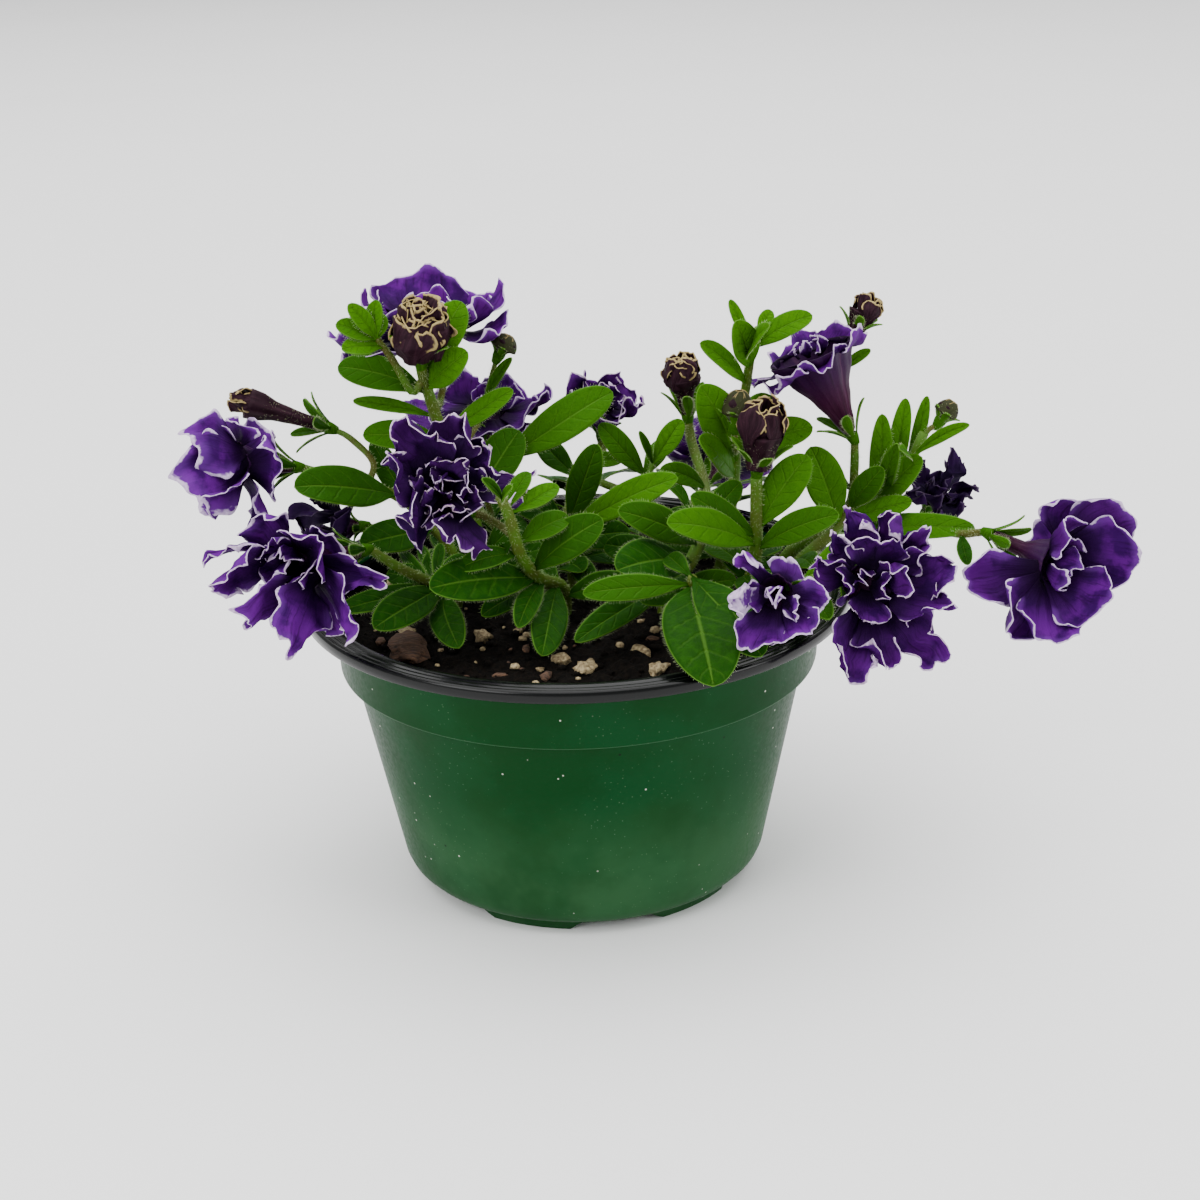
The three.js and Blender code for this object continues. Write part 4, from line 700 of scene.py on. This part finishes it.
def bloom(plan, number):
    bm = new_piece()
    seed = number + 1
    axes = Axes(flower_line(plan), UP)
    foot = Vector(plan.calyx) + axes.along * (CUP_LENGTH - 0.6)
    throat, face = Vector(plan.top), Vector(plan.face).normalized()
    length = (throat - foot).length
    reach = sum((Vector(lobe[:3]) - throat).length for lobe in plan.lobes) / len(plan.lobes)
    middle, mouth = plan.funnel or (2.6, 0.3 * reach)
    profile = [
        (0, 1.7), (0.25, 0.4 * middle + 1.2), (0.5, middle), (0.8, between((middle, mouth), 0.6)), (1, mouth),
    ]
    mouth_axes = Axes(face, axes.normal)
    share = 1.25 * math.pi / len(plan.lobes)

    def ring(angle, along):
        """The spoke of the tube at an angle, which turns from the tube's axis to the bloom's face"""
        return axes.spoke(angle).lerp(mouth_axes.spoke(angle), along * along).normalized()

    def wall(across, along):
        if along == 0:
            return foot, 9.0
        angle = 5 * across * FULL_TURN
        flutes = 1 + (0.06 * math.cos(angle) + 0.025 * math.cos(3 * angle + 1)) * along
        radius = curve_value(profile, along) * flutes
        return foot + axes.along * (length * along) + ring(across * FULL_TURN, along) * radius, 9.0

    sheet(bm, 60, 16, wall, TUBE, 0.5, plan.wilt, in_mm("petal_thickness"))
    for k, (x, y, z, width, arch) in enumerate(plan.lobes):
        tip = Vector((x, y, z))
        out = tip - throat
        angle = math.atan2(out.dot(mouth_axes.across), out.dot(mouth_axes.normal))
        start = throat + Axes(face, out).normal * (0.6 * mouth)
        # The lobe's left and right follow its own face, which may run against the tube's angle
        turn = 1 if Axes(tip - start, face).across.dot(ring(angle + 0.1, 1) - ring(angle, 1)) > 0 else -1

        def foot_line(v):
            return throat + ring(angle + turn * v * share, 1) * mouth

        rim = 9 if k in plan.white else plan.rim * (0.7 + 0.6 * chance(seed, 45 + k))
        stray = Vector([chance(seed, skip + k) for skip in (150, 160, 170)]) * 2 - Vector((1, 1, 1))
        turned = Vector(plan.lobe_face or face) + stray * (0.2 + plan.wilt)
        petal(bm, start, tip, width * plan.spread, arch, turned, seed * 50 + k, rim, plan.wilt,
              FULL_TURN * chance(seed, k), foot_line, plan.fold * (chance(seed, 180 + k) - 0.3),
              chance(seed, 60 + k), taper=plan.taper * (0.6 + 0.8 * chance(seed, 190 + k)))
    around = Axes(face, UP)
    for k in range(plan.inner):
        part = k / plan.inner
        lean = 0.2 + 1.05 * part + 0.5 * (chance(seed, 110 + k) - 0.5)
        size = reach * plan.heart * (0.38 + 0.34 * part) * (0.8 + 0.45 * chance(seed, 120 + k))
        out = around.spoke(GOLDEN_TURN * k + FULL_TURN * chance(seed, 40))
        start = throat + out * (0.4 * mouth * (0.4 + part)) - face * 1.5
        tip = start + face * (size * math.cos(lean)) + out * (size * math.sin(lean))
        petal(bm, start, tip, size * (0.75 + 0.45 * chance(seed, 90 + k)), 0.12 * size, face - out * 0.6,
              seed * 50 + 20 + k, plan.rim * (0.5 + 0.5 * chance(seed, 130 + k)), plan.wilt + 0.04,
              FULL_TURN * chance(seed, 20 + k), fold=0.7 * chance(seed, 140 + k) - 0.1,
              tone=chance(seed, 70 + k), rows=14, columns=20, ruffle=2.2)
    return bm


# Buds

def tight_flaps(bm, seat, axes, length, full, seed):
    """Six overlapping flaps that close over a round bud"""
    for k in range(6):
        closing = 1.15 + 0.35 * chance(seed, 20 + k)
        swell = 1.02 + 0.04 * (k % 3)

        def flap(across, along):
            v = 2 * across - 1
            bend = along * closing
            angle = FULL_TURN * k / 6 + 0.8 * v * (1 - 0.3 * along) + 0.8 * along
            height = 0.3 + 0.7 * (math.sin(bend) / math.sin(closing))
            radius = full * (swell * math.cos(bend) + 0.05 * (abs(v) ** 3 + along ** 3) * along)
            side = (1 - abs(v)) * 0.7 * full + 30 * max(0, 0.6 - along)
            return (seat + axes.along * (length * height) + axes.spoke(angle) * radius,
                    min(side, (1 - along) * full * 1.3) / 0.4)

        sheet(bm, 14, 12, flap, BUD_SKIN, 1.0, thickness=0.3)


def petal_ends(bm, seat, axes, length, plan, seed):
    """The head of a furled bloom: petal ends folded into one another, the outer ones wide"""
    full, count = plan.radius, plan.ends
    mouth = BUD_PROFILES[plan.kind][-2][0]
    for k in range(count):
        part = (k + 0.5) / count
        out = axes.spoke(GOLDEN_TURN * k + FULL_TURN * chance(seed, 80))
        ring = full * (0.1 + 0.86 * math.sqrt(part))
        foot = seat + axes.along * (length * (mouth - 0.16 * part)) + out * (0.9 * ring)
        top = 0.97 - 0.08 * part + 0.08 * (chance(seed, 90 + k) - 0.5)
        top -= plan.stagger * part * chance(seed, 140 + k)
        tip = seat + axes.along * (length * top) + out * (ring * (1.0 - plan.closing * part))
        petal(bm, foot, tip, full * (0.75 + 0.85 * part), 0.2 * full * part, out * -1, seed * 50 + k,
              plan.rim, plan.crumple, FULL_TURN * chance(seed, 100 + k),
              fold=0.5 * (chance(seed, 110 + k) - 0.3) + 0.35 * part, tone=0.5 * chance(seed, 40 + k),
              rows=12, columns=18, ruffle=0.16 * full)


def bud(plan, number):
    bm = new_piece()
    seed = number + 31
    axes = Axes(flower_line(plan), UP)
    seat = Vector(plan.calyx) + axes.along * (CUP_LENGTH - 0.4)
    length = (Vector(plan.top) - seat).length
    profile = BUD_PROFILES[plan.kind]
    full, highest = plan.radius, profile[-1][0]

    def skin(angle, height, radius):
        return seat + axes.along * (length * height) + axes.spoke(angle) * radius

    def body(across, along):
        height = along * highest
        flutes = 1 + 0.07 * math.cos(5 * across * FULL_TURN + 1.5 * along)
        radius = 0 if along in (0, 1) else full * curve_value(profile, height) * flutes
        return skin(across * FULL_TURN, height, radius), 9.0

    sheet(bm, 40, 22, body, BUD_SKIN, 0.4)
    if plan.kind == "round":
        tight_flaps(bm, seat, axes, length, full, seed)
    else:
        petal_ends(bm, seat, axes, length, plan, seed)
    tuft = []
    for k in range(int(HAIRS_ON_BUD * length)):
        height = chance(seed, k + 200) * 0.8 * highest
        angle = FULL_TURN * chance(seed, k + 500)
        root = skin(angle, height, full * curve_value(profile, height))
        tuft.append((root, axes.spoke(angle) + axes.along * 0.4, 0.9))
    hairs(bm, tuft, BUD_HAIR)
    return bm


# Pan and potting mix

def pan_mesh():
    """Spins the pan's wall around the axis, cuts the notches of its foot and marks its lip"""
    floor = 3.6 + in_mm("wall")
    bm = new_piece()
    verts = [bm.verts.new((radius, 0, height))
             for radius, height in PAN_OUTSIDE + LIP_RIDGES + PAN_INSIDE + [(61.0, floor), (0, floor)]]
    edges = [bm.edges.new(pair) for pair in zip(verts, verts[1:])]
    bmesh.ops.spin(
        bm, geom=verts + edges, cent=(0, 0, 0), axis=(0, 0, 1), angle=FULL_TURN, steps=sizes().pan_steps,
        use_merge=True)
    bmesh.ops.remove_doubles(bm, verts=bm.verts, dist=1e-4)
    bmesh.ops.recalc_face_normals(bm, faces=bm.faces)
    for vert in bm.verts:
        if vert.co.z < FOOT_TOP and 57.5 < math.hypot(vert.co.x, vert.co.y) < 62.65:
            angle = math.degrees(math.atan2(vert.co.y, vert.co.x)) + FOOT_TURN
            off = abs((angle + FOOT_SPACING / 2) % FOOT_SPACING - FOOT_SPACING / 2)
            vert.co.z += (FOOT_TOP - vert.co.z) * (1 - smooth((off - 12) / 3.4))
    for face in bm.faces:
        middle = face.calc_center_median()
        radius = math.hypot(middle.x, middle.y)
        inner = face.normal.dot(Vector((middle.x, middle.y, 0))) < 0 and radius < 91.5 and middle.z > 4.2
        rolled = middle.z > 109.5 or (middle.z > 107.6 and radius > 99.5)
        face.material_index = LIP if rolled or inner else PAN
    return bm


def soil_height(x, y):
    crown = 2 * (1 - (x * x + y * y) / (88 * 88))
    rough = math.sin(x * 0.21 + 1.3) * math.cos(y * 0.17) + 0.7 * math.sin(x * 0.5 + y * 0.43)
    return 101 + crown + 0.78 * rough


def lump(bm, x, y, size, slot, seed, subdivisions, sink=0.15):
    """A rough lump of the given length, width and height, sunk a little into the mix"""
    part = new_piece()
    bmesh.ops.create_icosphere(part, subdivisions=subdivisions, radius=0.5)
    turn = Matrix.Rotation(FULL_TURN * chance(seed, 3), 3, "Z")
    stray = Vector([9 * chance(seed, index) for index in (1, 2, 4)])
    seat = Vector((x, y, soil_height(x, y) + size[2] * sink))
    for vert in part.verts:
        rough = 1 + 0.55 * noise.noise(vert.co * 3.1 + stray)
        vert.co = turn @ (vert.co * Vector(size)) * rough + seat
    add(bm, part, slot)


def potting_mix_mesh():
    bm = new_piece()
    rows = len(SOIL_RINGS) + SOIL_TOP_RINGS - 1

    def place(across, along):
        ring = round(along * rows)
        angle = across * FULL_TURN
        if ring < len(SOIL_RINGS):
            radius, height = SOIL_RINGS[ring]
            return polar(radius, angle, height), 9.0
        radius = SOIL_RADIUS * (1 - (ring - len(SOIL_RINGS) + 1) / SOIL_TOP_RINGS)
        spot = polar(radius, angle)
        grain = (1.5 * noise.noise(spot * 0.16) + 1.3 * abs(noise.noise(spot * 0.42))
                 + 0.9 * noise.noise(spot * 0.9 + Vector((7, 3, 0))))
        fade = smooth(radius / 4) * smooth((88.4 - radius) / 3)
        spot.z = soil_height(spot.x, spot.y) + (grain - 0.3) * (0.3 + 0.7 * fade)
        return spot, 9.0

    sheet(bm, SOIL_COLUMNS, rows, place, PEAT)
    for k, (x, y, *size) in enumerate(LUMPS):
        lump(bm, x, y, size, PERLITE if k else BARK, k, 3)
    for k in range(sizes().crumbs):
        spot = polar(86 * math.sqrt(chance(2, k)), FULL_TURN * chance(5, k))
        size = 1.1 + 2.8 * chance(8, k) ** 3
        kind = chance(11, k)
        slot = PERLITE if kind < PERLITE_SHARE else BARK if kind < PERLITE_SHARE + BARK_SHARE else PEAT
        stretch = 2.2 if slot == BARK else 1.2
        lump(bm, spot.x, spot.y, (size * stretch, size, size * 0.7), slot, k + 300, 1, 0.3)
    return bm


# Finishes

class Signal:
    """A value or colour on its way through the nodes of a finish"""

    def __init__(self, finish, socket):
        self.finish = finish
        self.socket = socket

    def __add__(self, other):
        return self.finish.maths("ADD", self, other)

    def __sub__(self, other):
        return self.finish.maths("SUBTRACT", self, other)

    def __rsub__(self, other):
        return self.finish.maths("SUBTRACT", other, self)

    def __mul__(self, other):
        return self.finish.maths("MULTIPLY", self, other)

    def __abs__(self):
        return self.finish.maths("ABSOLUTE", self)

    __radd__ = __add__
    __rmul__ = __mul__

    def step(self, low, high, to_low=0.0, to_high=1.0):
        """Goes smoothly from to_low to to_high while this value goes from low to high"""
        return self.finish.node("ShaderNodeMapRange", {"interpolation_type": "SMOOTHSTEP"}, {
            "Value": self, "From Min": low, "From Max": high, "To Min": to_low, "To Max": to_high})


class Finish:
    """A material whose colour, roughness and bump are written as expressions"""

    def __init__(self, name, **constants):
        self.material = bpy.data.materials.new(name)
        self.material.use_nodes = True
        self.tree = self.material.node_tree
        self.shader = self.tree.nodes["Principled BSDF"]
        for socket, value in constants.items():
            self.shader.inputs[socket.replace("_", " ").title().replace("Ior", "IOR")].default_value = value
        point = self.node("ShaderNodeTexCoord", output="Object")
        self.place = self.node("ShaderNodeVectorMath", {"operation": "SCALE"}, {0: point, "Scale": 1 / MM})

    def node(self, kind, settings=None, inputs=None, output=0):
        """Adds a node, sets it up, and gives its sockets their values or links"""
        made = self.tree.nodes.new(kind)
        for key, value in (settings or {}).items():
            setattr(made, key, value)
        for key, value in (inputs or {}).items():
            self.link(value, made.inputs[key])
        return Signal(self, made.outputs[output])

    def link(self, value, socket):
        if isinstance(value, Signal):
            self.tree.links.new(value.socket, socket)
        elif socket.type == "RGBA":
            socket.default_value = (*value, 1)
        else:
            socket.default_value = value

    def maths(self, operation, a, b=0.0):
        return self.node("ShaderNodeMath", {"operation": operation}, {0: a, 1: b})

    def coordinate(self, vector, axis):
        return self.node("ShaderNodeSeparateXYZ", inputs={0: vector}, output=axis)

    def blade_map(self):
        """Across and along a blade, each from 0 to 1"""
        spot = self.node("ShaderNodeUVMap", {"uv_map": "blade"})
        return self.coordinate(spot, 0), self.coordinate(spot, 1)

    def mesh_value(self, name):
        return self.node("ShaderNodeAttribute", {"attribute_name": name}, output="Fac")

    def grain(self, scale, detail=3.0, roughness=0.55, place=None):
        return self.node("ShaderNodeTexNoise", inputs={
            "Vector": place or self.place, "Scale": scale, "Detail": detail, "Roughness": roughness})

    def streaks(self, x, y, z=0.0):
        """Grain that is drawn out along a blade, from its own coordinates"""
        return self.grain(1.0, place=self.node("ShaderNodeCombineXYZ", inputs={0: x, 1: y, 2: z}))

    def specks(self, scale, low, high, patches):
        """Specks in the middle of cells, where the patches are"""
        cells = self.node("ShaderNodeTexVoronoi", inputs={"Vector": self.place, "Scale": scale})
        return (1 - cells.step(low, high)) * patches

    def layers(self, base, *coats):
        """Lays coats, each given by its cover and its colour, over a base colour"""
        for cover, shade in coats:
            base = self.node("ShaderNodeMix", {"data_type": "RGBA"}, {0: cover, 6: base, 7: shade}, 2)
        return base

    def feed(self, base_color, roughness=None, bump=None, depth=0.0):
        self.link(base_color, self.shader.inputs["Base Color"])
        if roughness is not None:
            self.link(roughness, self.shader.inputs["Roughness"])
        if bump:
            normal = self.node("ShaderNodeBump", inputs={"Height": bump, "Distance": depth, "Strength": 1.0})
            self.link(normal, self.shader.inputs["Normal"])
        return self.material


def pan_finish():
    finish = Finish("pan_plastic", specular_ior_level=0.015, coat_weight=0.09, coat_roughness=0.24)
    height = finish.coordinate(finish.place, 2)
    scuff = finish.grain(0.6, 5)
    # Lighter and patchy towards the bottom: water stains, and a painted reflection of the pale floor
    stain_and_floor_reflection = (1 - height.step(14.0, 66.0)) * finish.grain(0.022, 4, 0.6).step(0.36, 0.62, 0.2, 0.5)
    # A painted highlight: a pale ring where the edge of the ledge catches the light
    ledge_highlight = 1 - abs(height - LEDGE_HEIGHT).step(0.15, 0.55)
    dirt = finish.specks(0.11, 0.03, 0.07, finish.grain(0.04, 2).step(0.5, 0.62))
    powder = finish.specks(0.5, 0.07, 0.14, finish.grain(0.03).step(0.42, 0.62))
    dust = finish.specks(0.16, 0.035, 0.075, finish.grain(0.05, 2).step(0.47, 0.56))
    base = finish.layers(
        colour("pan"),
        (finish.grain(0.03, 4).step(0.4, 0.62) * 0.8, (0.0008, 0.041, 0.009)),
        (scuff.step(0.55, 0.8) * 0.2, (0.006, 0.055, 0.016)),
        (stain_and_floor_reflection, (0.040, 0.115, 0.046)),
        (ledge_highlight * 0.3, (0.12, 0.26, 0.14)),
        (dirt * 0.8, (0.004, 0.006, 0.004)),
        (powder * 0.6, (0.07, 0.14, 0.07)),
        (dust * 0.9, (0.62, 0.66, 0.55)),
    )
    return finish.feed(base, scuff.step(0.3, 0.8, 0.3, 0.46), finish.grain(0.25), 0.00006)


def lip_finish():
    finish = Finish("lip_plastic", specular_ior_level=0.1, coat_weight=0.25, coat_roughness=0.14)
    dust = finish.grain(0.9, 5, 0.7).step(0.6, 0.8)
    base = finish.layers(colour("lip"), (dust * 0.35, (0.05, 0.055, 0.045)))
    return finish.feed(base, dust.step(0, 1, 0.24, 0.5))


def leaf_finish():
    finish = Finish("leaf_skin", specular_ior_level=0.04)
    across, along = finish.blade_map()
    side = abs(across - 0.5) * 2
    tone, edge = finish.mesh_value("tone"), finish.mesh_value("edge")
    mottle = finish.grain(0.35, 4)
    fine = finish.grain(1.6)
    branch = finish.maths("FRACT", along * 7.0 - side * 1.2 + mottle * 0.3)
    vein = (1 - abs(branch - 0.5).step(0.02, 0.12)) * (1 - side.step(0.6, 0.95))
    rib = 1 - side.step(0.02, 0.09)
    base = finish.layers(
        colour("leaf"),
        (tone.step(0.2, 1.1, 0.95, 0.0), colour("leaf_dark")),
        (mottle.step(0.35, 0.7) * 0.3, (0.018, 0.095, 0.0)),
        (fine.step(0.4, 0.75) * 0.3, (0.004, 0.038, 0.0)),
        (vein * 0.10, colour("leaf_vein")),
        (rib * 0.4, colour("leaf_vein")),
        ((1 - edge.step(0.05, 0.5)) * 0.75, colour("leaf_vein")),
    )
    relief = fine * 0.5 - vein * 0.6 - rib * 0.8 + mottle
    return finish.feed(base, fine.step(0.2, 0.8, 0.42, 0.62), relief, 0.00035)


def stem_finish():
    finish = Finish("stem_skin", specular_ior_level=0.15)
    blush = finish.mesh_value("blush") * finish.grain(0.12).step(0.35, 0.6)
    base = finish.layers(
        colour("stem"),
        (blush * 0.9, colour("stem_blush")),
        (finish.grain(1.2) * 0.3, (0.06, 0.17, 0.02)),
    )
    return finish.feed(base, 0.55, finish.grain(1.5), 0.0002)


def hair_finish():
    finish = Finish("pale_hair", roughness=0.5)
    return finish.feed(finish.layers((0.45, 0.60, 0.22), (finish.grain(0.5, 2), (0.72, 0.82, 0.50))))


def petal_finish():
    finish = Finish("petal_velvet", specular_ior_level=0.04)
    across, along = finish.blade_map()
    edge, tone, wilt = (finish.mesh_value(name) for name in MESH_VALUES)
    cloud = finish.grain(0.13, 4)
    streak = finish.streaks(across * 26.0, along * 1.8, tone * 9.0)
    ragged = finish.grain(0.7, 4)
    lift = along.step(0.25, 0.9) * (cloud + tone * 0.2).step(0.44, 0.68)
    body = finish.layers(
        colour("petal_deep"),
        (along.step(0.1, 0.75), colour("petal")),
        (lift * 0.85, colour("petal_bright")),
        (streak.step(0.5, 0.72) * 0.5, colour("petal_deep")),
        (tone.step(0.35, 1.0) * 0.35, colour("petal_deep")),
        (wilt.step(0.2, 1.0, 0.0, 0.9), (0.006, 0.003, 0.013)),
        ((1 - edge.step(0.5, 3.2)) * (1 - wilt) * 0.5, (0.14, 0.03, 0.27)),
    )
    pale = finish.layers(
        colour("petal_rim"),
        (wilt * ragged.step(0.45, 0.6), (0.55, 0.42, 0.30)),
        (ragged.step(0.35, 0.7) * 0.45, (0.28, 0.14, 0.42)),
    )
    width = finish.grain(0.18, 2).step(0.32, 0.68, 0.25, 1.2)
    rim = 1 - (edge + (ragged - 0.5) * 0.7).step(width * 0.4, width)
    base = finish.layers(body, (rim * (1 - wilt.step(0.66, 0.85) * 0.93), pale))
    return finish.feed(base, streak.step(0.2, 0.8, 0.5, 0.75), streak + ragged * 0.4, 0.0003)


def tube_finish():
    finish = Finish("tube_skin", specular_ior_level=0.1)
    across, along = finish.blade_map()
    streak = finish.streaks(across * 22.0, along * 1.2)
    base = finish.layers(
        colour("tube"),
        (along.step(0.3, 0.95), (0.022, 0.0022, 0.034)),
        (streak.step(0.5, 0.75) * 0.7, (0.006, 0.0018, 0.006)),
        (streak.step(0.48, 0.28) * 0.5, (0.085, 0.028, 0.065)),
    )
    return finish.feed(base, 0.5, streak + finish.grain(1.0, 2) * 0.3, 0.0003)


def bud_finish():
    finish = Finish("bud_skin", specular_ior_level=0.1)
    across, along = finish.blade_map()
    edge, tone = finish.mesh_value("edge"), finish.mesh_value("tone")
    streak = finish.streaks(across * 16.0, along * 2.0, tone * 7.0)
    ragged = finish.grain(0.9)
    rim = 1 - (edge + (ragged - 0.5) * 1.2).step(0.4, 1.1)
    base = finish.layers(
        colour("bud"),
        (streak.step(0.35, 0.7), (0.030, 0.009, 0.017)),
        (tone.step(0.6, 1.0) * 0.6, (0.035, 0.050, 0.012)),
        (rim, colour("bud_rim")),
    )
    return finish.feed(base, 0.6, streak + ragged * 0.5, 0.0004)


def peat_finish():
    finish = Finish("peat", specular_ior_level=0.1)
    clump = finish.grain(0.5, 5, 0.7)
    fibre = finish.grain(2.0, 4, 0.7)
    base = finish.layers(
        (0.0022, 0.0017, 0.0013),
        (clump.step(0.35, 0.7), (0.010, 0.0068, 0.0045)),
        (fibre.step(0.6, 0.75) * 0.5, (0.045, 0.028, 0.016)),
    )
    return finish.feed(base, 0.9, clump + fibre * 0.6, 0.0015)


def perlite_finish():
    finish = Finish("perlite")
    grain = finish.grain(0.8, 4, 0.6)
    base = finish.layers((0.16, 0.11, 0.05), (grain.step(0.35, 0.7), (0.50, 0.40, 0.22)))
    return finish.feed(base, 0.8, grain, 0.0008)


def bark_finish():
    finish = Finish("bark")
    drawn = finish.node(
        "ShaderNodeVectorMath", {"operation": "MULTIPLY"}, {0: finish.place, 1: (0.15, 1.2, 0.9)})
    grain = finish.grain(1.0, 4, place=drawn)
    base = finish.layers((0.026, 0.011, 0.006), (grain.step(0.3, 0.7), (0.15, 0.075, 0.038)))
    return finish.feed(base, 0.85, grain, 0.001)


# Operators

def make_all(plans, build, piece, node, finishes):
    """Makes one piece from each plan, in place of the CAD node with the plan's name"""
    for number, plan in enumerate(plans):
        finished(build(plan, number), piece + plan.name, [node + plan.name], finishes)


class PETUNIA_OT_pan(bpy.types.Operator):
    """Make the green nursery pan with its dark lip, foot ring and drains"""

    bl_idname = "petunia.pan"
    bl_label = "Pan"

    def execute(self, context):
        pan = finished(pan_mesh(), "nursery_pan", ["pan"], [pan_finish(), lip_finish()])
        drains = bmesh.new()
        for k in range(FEET):
            place = polar(DRAIN_CIRCLE, math.radians(FOOT_SPACING * k - FOOT_TURN), DRAIN_RADIUS)
            bmesh.ops.create_cone(
                drains, cap_ends=True, segments=24, radius1=DRAIN_RADIUS, radius2=DRAIN_RADIUS,
                depth=DRAIN_DEPTH, matrix=Matrix.Translation(place))
        cutter = new_object("drains", to_mesh(drains, "drains"))
        cut = pan.modifiers.new("Drains", "BOOLEAN")
        cut.object = cutter
        cut.solver = "EXACT"
        shape = bpy.data.meshes.new_from_object(pan.evaluated_get(context.evaluated_depsgraph_get()))
        pan.modifiers.clear()
        pan.data = shape
        bpy.data.objects.remove(cutter)
        return {"FINISHED"}


class PETUNIA_OT_potting_mix(bpy.types.Operator):
    """Make the crumbly potting mix with perlite and bark"""

    bl_idname = "petunia.potting_mix"
    bl_label = "Potting Mix"

    def execute(self, context):
        finishes = [peat_finish(), perlite_finish(), bark_finish()]
        finished(potting_mix_mesh(), "peat_surface", ["potting_mix"], finishes)
        return {"FINISHED"}


class PETUNIA_OT_stems(bpy.types.Operator):
    """Make each leafy stem with its leaves, side stalks, sepals and hairs"""

    bl_idname = "petunia.stems"
    bl_label = "Leafy Stems"

    def execute(self, context):
        finishes = [leaf_finish(), stem_finish(), hair_finish()]
        make_all(STEMS, leafy_stem, "leafy_stem_", "stem_", finishes)
        return {"FINISHED"}


class PETUNIA_OT_blooms(bpy.types.Operator):
    """Make each double bloom with its tube, lobes and ruffled heart"""

    bl_idname = "petunia.blooms"
    bl_label = "Blooms"

    def execute(self, context):
        make_all(BLOOMS, bloom, "petals_bloom_", "bloom_", [petal_finish(), tube_finish()])
        return {"FINISHED"}


class PETUNIA_OT_buds(bpy.types.Operator):
    """Make each bud with its folded, cream-edged petals"""

    bl_idname = "petunia.buds"
    bl_label = "Buds"

    def execute(self, context):
        make_all(BUDS, bud, "folded_bud_", "bud_", [bud_finish(), hair_finish()])
        return {"FINISHED"}


class PETUNIA_OT_studio(bpy.types.Operator):
    """Make the pale floor, the soft lights and the camera"""

    bl_idname = "petunia.studio"
    bl_label = "Studio"

    def execute(self, context):
        bm = bmesh.new()
        bmesh.ops.create_grid(bm, x_segments=1, y_segments=1, size=FLOOR_SIZE)
        floor = new_object("floor", to_mesh(bm, "floor"))
        paper = Finish("floor_paper", roughness=0.9, specular_ior_level=0.1)
        tint = (paper.grain(0.004, 1), (0.93, 0.93, 0.93))
        floor.data.materials.append(paper.feed(paper.layers((0.90, 0.90, 0.90), tint)))
        world = bpy.data.worlds.new("studio")
        world.use_nodes = True
        sky = world.node_tree.nodes["Background"].inputs
        sky["Color"].default_value = (1, 1, 1, 1)
        sky["Strength"].default_value = SKY_STRENGTH
        context.scene.world = world
        self.light("overhead", (0, 0.6, 2.6), (0, 0.3, 0), 4.5, 200)
        self.light("window_left", (-1.0, -1.0, 0.9), (-0.02, 0, 0.12), 0.9, 16)
        self.light("window_right", (1.2, -0.6, 0.6), (0.03, 0, 0.12), 0.7, 9)
        context.scene.camera = self.camera()
        return {"FINISHED"}

    def light(self, name, place, aim, size, power):
        lamp = bpy.data.lights.new(name, "AREA")
        lamp.size = size
        lamp.energy = power
        turn = (Vector(place) - Vector(aim)).to_track_quat("Z", "Y").to_matrix().to_4x4()
        new_object(name, lamp).matrix_world = Matrix.Translation(place) @ turn

    def camera(self):
        """A camera in front of the plant that looks down on it and is rolled a little"""
        down, roll = math.radians(CAMERA_TILT), math.radians(CAMERA_ROLL)
        back = Vector((0, -math.cos(down), math.sin(down)))
        right = Vector((1, 0, 0))
        up = back.cross(right)
        x = right * math.cos(roll) + up * math.sin(roll)
        y = -right * math.sin(roll) + up * math.cos(roll)
        lens = bpy.data.cameras.new("camera")
        lens.sensor_width = SENSOR_WIDTH
        lens.lens = SENSOR_WIDTH * FOCAL_WIDTHS
        camera = new_object("camera", lens)
        turn = Matrix((x, y, back)).transposed().to_4x4()
        camera.matrix_world = Matrix.Translation(CAMERA_TARGET + CAMERA_DISTANCE * back) @ turn
        return camera


OPERATORS = [
    PETUNIA_OT_pan, PETUNIA_OT_potting_mix, PETUNIA_OT_stems, PETUNIA_OT_blooms, PETUNIA_OT_buds,
    PETUNIA_OT_studio,
]


class PETUNIA_PT_panel(bpy.types.Panel):
    """The petunia's sizes, colours and pieces"""

    bl_label = "Potted Petunia"
    bl_idname = "PETUNIA_PT_panel"
    bl_space_type = "VIEW_3D"
    bl_region_type = "UI"
    bl_category = "Petunia"

    def draw(self, context):
        for group in (context.scene.petunia_sizes, context.scene.petunia_colours):
            for name in group.bl_rna.properties.keys():
                if name not in ("rna_type", "name"):
                    self.layout.prop(group, name)
        for operator in OPERATORS:
            self.layout.operator(operator.bl_idname)


CLASSES = [PetuniaSizes, PetuniaColours, *OPERATORS, PETUNIA_PT_panel]


def register():
    for cls in CLASSES:
        bpy.utils.register_class(cls)
    bpy.types.Scene.petunia_sizes = PointerProperty(type=PetuniaSizes)
    bpy.types.Scene.petunia_colours = PointerProperty(type=PetuniaColours)


def unregister():
    del bpy.types.Scene.petunia_colours
    del bpy.types.Scene.petunia_sizes
    for cls in reversed(CLASSES):
        bpy.utils.unregister_class(cls)


def main():
    register()
    bpy.ops.petunia.studio()
    bpy.ops.petunia.pan()
    bpy.ops.petunia.potting_mix()
    bpy.ops.petunia.stems()
    bpy.ops.petunia.blooms()
    bpy.ops.petunia.buds()
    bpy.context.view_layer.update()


if __name__ == "__main__":
    main()
